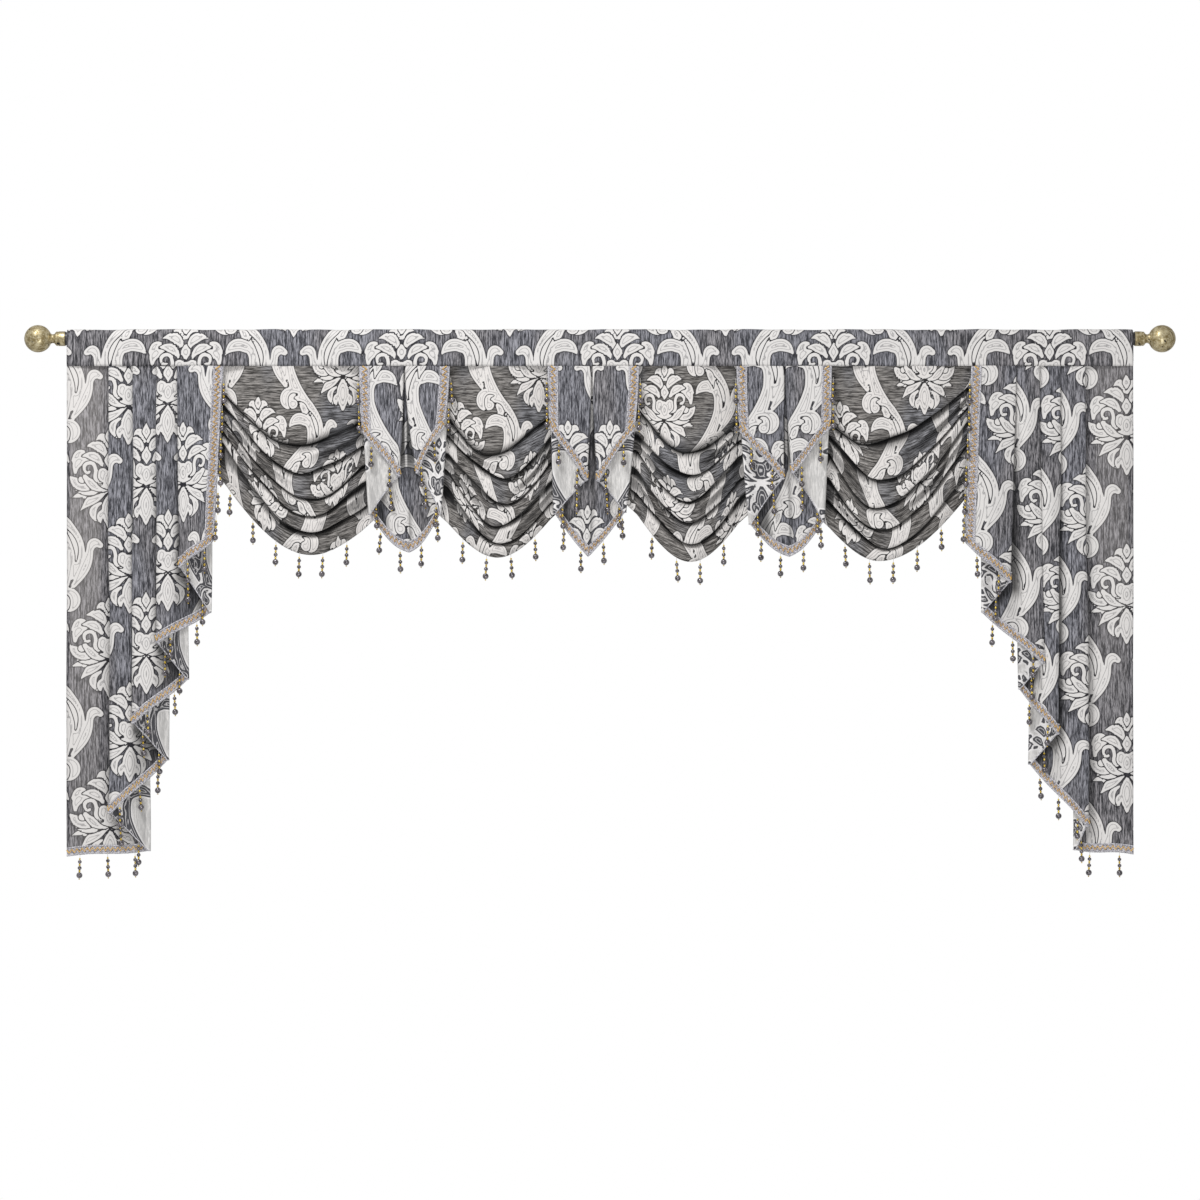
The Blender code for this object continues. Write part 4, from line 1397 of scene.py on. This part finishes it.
def edge_braid(name, panel, edge):
    """The braid up a panel's first or last edge, from the cut's braid to the seam."""
    run, inward = (0, 1) if edge == 0 else (len(panel.folds) - 2, -1)
    top = SEAM_Z - EDGE_START
    height = top - panel.cut(edge) - BRAID_RISE

    def on_edge(s, across, offset):
        z = mix(top, panel.cut(edge) + BRAID_RISE, s / height)
        width = abs(panel.line(run + 1, z) - panel.line(run, z))
        place = edge + inward * across * BRAID_WIDTH / width
        low = panel.cut(place) + BRAID_RISE - OVERLAP
        return panel.points(place, np.array(mix(top, low, s / height)), offset)

    return braid_along(name, on_edge, height)


print("braid:", BRAID_WIDTH / MM, "mm wide")

# %% [markdown]
# A bead string is modelled once, hanging down from its root: a pale thread, then grey pearls
# and gold beads by turns, and a large pearl at the end. Spheres are pulled to their shapes,
# joined into one mesh, and copied to each place along the hems.

# %% Bead materials


def polished_material(name, dark, light, metallic, roughness, coat):
    """A glossy bead with a little cloudiness."""
    material, tree, shader = new_material(name)
    clouds = object_noise(tree, (170.0, 170.0, 170.0))
    tone = blend_colour(tree, step_between(tree, clouds, 0.35, 0.65), dark, light)
    set_inputs(
        tree, shader, Base_Color=tone, Metallic=metallic, Roughness=roughness,
        Coat_Weight=coat, Coat_Roughness=0.08,
    )
    return material


pearl = polished_material("pearl", (0.03, 0.026, 0.031), (0.20, 0.18, 0.20), 0.3, 0.13, 1.0)
gold_bead = polished_material("gold_bead", (0.52, 0.34, 0.03), (0.90, 0.68, 0.12), 0.6, 0.3, 0.3)
thread_pale = yarn_material("thread", (0.5, 0.47, 0.43), (0.75, 0.72, 0.68), 900.0, 0.7, 0.1)
print("bead materials:", pearl.name, gold_bead.name, thread_pale.name)

# %% One bead string
STRING_LENGTH = 60 * MM
THREAD_RADIUS = 0.55 * MM
INTO_BRAID = 3 * MM  # how far above its root the thread starts
# Distance of a bead's middle below the root, its radius, how tall it is for its width, and
# its material.
BEADS = (
    (11.5, 2.2, 1.2, gold_bead),
    (18.0, 4.6, 0.95, pearl),
    (25.0, 2.5, 1.5, gold_bead),
    (32.5, 4.8, 0.95, pearl),
    (39.5, 2.6, 1.5, gold_bead),
    (49.5, 7.2, 1.0, pearl),
    (58.3, 1.8, 0.8, gold_bead),
)
# A bead with a radius above this has more segments and rings than a small one.
LARGE_BEAD, LARGE_PARTS, SMALL_PARTS = 3, (10, 7), (7, 5)
LEAN = 0.035  # how far out of plumb the strings hang, in radians


def make_string():
    """One string, its root at the origin."""
    pieces = []
    for down, radius, tall, material in BEADS:
        around, rings = LARGE_PARTS if radius > LARGE_BEAD else SMALL_PARTS
        deselect()
        bpy.ops.mesh.primitive_uv_sphere_add(
            segments=around, ring_count=rings, radius=radius * MM, location=(0, 0, -down * MM)
        )
        made = bpy.context.object
        made.scale = (1, 1, tall)
        bpy.ops.object.transform_apply(location=True, rotation=True, scale=True)
        made.data.materials.append(material)
        pieces.append(made)
    line = np.array([(0, 0, INTO_BRAID), (0, 0, -STRING_LENGTH + INTO_BRAID)])
    pieces.append(curve_piece("thread", line, THREAD_RADIUS, thread_pale, 0))
    string = join_pieces("string", pieces)
    bpy.ops.object.shade_smooth()
    return string


string = make_string()
chance = np.random.default_rng(7)


def hang_strings(name, roots):
    """Copies of the string at all roots, each a little out of plumb, as one object."""
    copies = []
    for root in roots:
        made = bpy.data.objects.new(name, string.data.copy())
        bpy.context.scene.collection.objects.link(made)
        lean, turn = chance.normal(0, LEAN), chance.uniform(0, 2 * math.pi)
        tilt = Matrix.Rotation(lean, 4, "Y") @ Matrix.Rotation(turn, 4, "Z")
        made.data.transform(Matrix.Translation(Vector(root)) @ tilt)
        copies.append(made)
    return join_pieces(name, copies)


print("string:", len(string.data.polygons), "faces")

# %% Fringes of the panels
STRING_SPACING = 66 * MM
EDGE_SPACING = 68 * MM
STRING_FORWARD = 3 * MM
STRING_SIDEWAYS = 4.5 * MM
JABOT_SHIFT = 0.2  # the strings on the right of a jabot's tip hang further from it
BRAID_ANGLE = math.radians(50)


def spread_evenly(count):
    return [(number + 0.5) / count for number in range(count)]


def panel_roots(panel, edges):
    """Where the strings hang from: along the cut, and beside the free edges."""
    roots = []
    for run in range(len(panel.folds) - 1):
        shift = JABOT_SHIFT if run == 3 and not panel.is_tail else 0.0
        for part in spread_evenly(max(1, round(panel.run_length(run) / STRING_SPACING))):
            place = 2 * run + part + shift
            root = panel.points(place, np.array(panel.cut(place)), BAND_OFFSET)
            roots.append(root + np.array([0, -STRING_FORWARD, 0]))
    for edge in edges:
        sideways = -panel.side(1) if edge == 0 else panel.side(len(panel.folds) - 1)
        low = panel.cut(edge) + BRAID_RISE
        for part in spread_evenly(round((SEAM_Z - low) / EDGE_SPACING)):
            root = panel.points(edge, np.array(mix(SEAM_Z, low, part)), BAND_OFFSET)
            roots.append(root + np.array([sideways * STRING_SIDEWAYS, -STRING_FORWARD, 0]))
    return roots


fringes = {}
for name, panel in panels.items():
    edges = [0] if panel.is_tail else [0, panel.last]
    pieces = cut_braid(name, panel)
    for edge in edges:
        pieces += edge_braid(name, panel, edge)
    braid = join_pieces(f"{name}_braid", pieces)
    bpy.ops.object.shade_smooth_by_angle(angle=BRAID_ANGLE)
    strings = hang_strings(f"{name}_beads", panel_roots(panel, edges))
    fringes[name] = [braid, strings]
    print(name, len(braid.data.polygons), "braid faces")

# %% Fringes of the swags
HEM_SPACING = 54 * MM
HEM_CELL = 6 * MM
HEM_ENDS = 6  # millimetres from a swag's sides to the ends of its tape
TAPE_ROWS = (0.0, 0.08, 0.16)  # rows of the tape behind the hem, in folds above it
TAPE_BEHIND = np.array([0, CLOTH / 2 + 1 * MM, 0])
HEM_ROOT = np.array([0, -1 * MM, 1 * MM])  # from the hem's edge to a string's root

for name, swag in swags.items():
    last = len(swag.sags)
    left, right = np.array([swag.x_left + HEM_ENDS, swag.x_right - HEM_ENDS]) * MM
    xs = np.linspace(left, right, round((right - left) / HEM_CELL) + 1)
    hem = swag_points(swag, xs, last - np.array(TAPE_ROWS))
    tape = band_piece(hem + TAPE_BEHIND)
    tape.name = tape.data.name = f"{name}_tape"
    parts = spread_evenly(round((right - left) / HEM_SPACING))
    at = np.array([mix(left, right, part) for part in parts])
    roots = swag_points(swag, at, np.array([float(last)]))[:, 0]
    strings = hang_strings(f"{name}_beads", roots + HEM_ROOT)
    fringes[name] = [tape, strings]
    print(name, len(roots), "strings")
bpy.data.objects.remove(string, do_unlink=True)

# %% Fringes in their places
for name, pieces in fringes.items():
    for piece, slot in zip(pieces, ("braid", "beads")):
        stand_in(piece, name.replace("_", "_fringe_"))

# %% [markdown]
# ## Pole and finials
#
# The pole is a dark painted tube that only shows between the heading and the collars. The
# finials are turned balls with an antique gold leaf finish: uneven warm metal with small
# dark pits. Their ball, neck and grooved collar are drawn ring by ring from one circle.

# %% Pole
pole_paint, tree, shader = new_material("pole_paint")
grain = object_noise(tree, (8.0, 160.0, 160.0), 3.0)
tone = blend_colour(tree, grain, (0.016, 0.013, 0.012), (0.045, 0.038, 0.034))
set_inputs(tree, shader, Base_Color=tone, Roughness=0.42)
pole = frame["nodes"]["pole"]
pole.data.materials.clear()
pole.data.materials.append(pole_paint)
print("pole:", len(pole.data.polygons), "faces")

# %% Antique gold material
antique_gold, tree, shader = new_material("antique_gold")
place = add_node(tree, "TexCoord").outputs["Object"]
cells = set_inputs(tree, add_node(tree, "TexVoronoi", place), Scale=190.0)
leaf_noise = stretched_noise(tree, place, (90.0, 90.0, 90.0), 4.0, 0.7)
speckle = step_between(tree, leaf_noise, 0.36, 0.66)
base = blend_colour(tree, speckle, (0.24, 0.18, 0.075), (0.64, 0.55, 0.34))
flake = step_between(tree, cells.outputs["Distance"], 0.5, 0.15)
base = blend_colour(tree, math_node(tree, "MULTIPLY", flake, 0.5), base, (0.78, 0.72, 0.52))
pits = stretched_noise(tree, place, (62.0, 62.0, 62.0), 1.0)
pit = step_between(tree, pits, 0.70, 0.76)
base = blend_colour(tree, pit, base, (0.02, 0.014, 0.008))
rough = math_node(tree, "ADD", math_node(tree, "MULTIPLY", speckle, -0.16), 0.5)
set_inputs(tree, shader, Base_Color=base, Metallic=0.65, Roughness=rough)
uneven = math_node(tree, "SUBTRACT", leaf_noise, math_node(tree, "MULTIPLY", pit, 1.5))
add_bump(tree, shader, uneven, 0.5, 0.6 * MM)
print("antique gold:", len(tree.nodes), "nodes")

# %% Finials
COLLAR_START = 1250 * MM
NECK_RADIUS = 10.2 * MM
BALL_CENTRE, BALL_RADIUS = 1314 * MM, 32 * MM
BALL_RINGS, FIRST_RING = 18, 0.15  # the first ring is this share of a step past the neck
NECK_FLARE = 1.12
FINIAL_SIDES = 40
TIP_MERGE = 0.01 * MM
FINIAL_ANGLE = math.radians(38)
# Distance from the collar's start and radius, in millimetres, of the rings of the socket,
# the collar with its groove, and the neck.
RINGS = (
    (13.9, 15.75), (0.3, 15.75), (0.0, 16.2), (0.0, 16.8), (0.5, 17.2), (15.2, 17.2),
    (16.0, 16.9), (16.8, 16.1), (17.6, 16.1), (18.4, 16.9), (19.6, 16.9), (21.4, 16.0),
    (23.2, 14.2), (24.6, 12.0), (26.2, 10.8), (28.6, 10.3), (30.4, 10.4),
)


def finial_rings():
    """Place along the pole and radius of each ring, the ball's by a formula."""
    rings = [(COLLAR_START + x * MM, radius * MM) for x, radius in RINGS]
    start = math.asin(NECK_RADIUS * NECK_FLARE / BALL_RADIUS)
    for k in range(BALL_RINGS):
        angle = mix(start, math.pi, (k + FIRST_RING) / BALL_RINGS)
        rings.append((BALL_CENTRE - BALL_RADIUS * math.cos(angle), BALL_RADIUS * math.sin(angle)))
    return rings


def make_finial(name, mirror):
    """Each ring is extruded from the one before it, moved along the pole and scaled."""
    rings = finial_rings()
    deselect()
    bpy.ops.mesh.primitive_circle_add(
        vertices=FINIAL_SIDES, radius=rings[0][1], fill_type="NGON",
        location=(rings[0][0], 0, 0), rotation=(0, math.pi / 2, 0),
    )
    piece = bpy.context.object
    bpy.ops.object.transform_apply(location=True, rotation=True, scale=True)
    edit_all()
    for (x0, r0), (x1, r1) in zip(rings, rings[1:]):
        bpy.ops.mesh.extrude_region_move(TRANSFORM_OT_translate={"value": (x1 - x0, 0, 0)})
        ratio = r1 / r0
        bpy.ops.transform.resize(
            value=(1, ratio, ratio), center_override=(x1, 0, 0), orient_type="GLOBAL"
        )
    bpy.ops.mesh.select_all(action="SELECT")
    bpy.ops.mesh.remove_doubles(threshold=TIP_MERGE)
    bpy.ops.mesh.normals_make_consistent(inside=False)
    bpy.ops.object.mode_set(mode="OBJECT")
    if mirror < 0:
        piece.data.transform(Matrix.Rotation(math.pi, 4, "Z"))
    piece.name = piece.data.name = name
    piece.data.materials.append(antique_gold)
    bpy.ops.object.shade_smooth_by_angle(angle=FINIAL_ANGLE)
    return piece


for side, mirror in (("left", -1), ("right", 1)):
    finial = make_finial(f"finial_{side}_turned", mirror)
    stand_in(finial, f"finial_{side}")
    print(finial.name, len(finial.data.polygons), "faces")

# %% [markdown]
# ## Measure and finish
#
# The last lines count the faces of all the pieces that are shown.

# %% Faces and the end
faces = sum(
    len(piece.data.polygons) for piece in bpy.data.objects
    if piece.type == "MESH" and not piece.hide_render
)
print("faces in all:", faces)
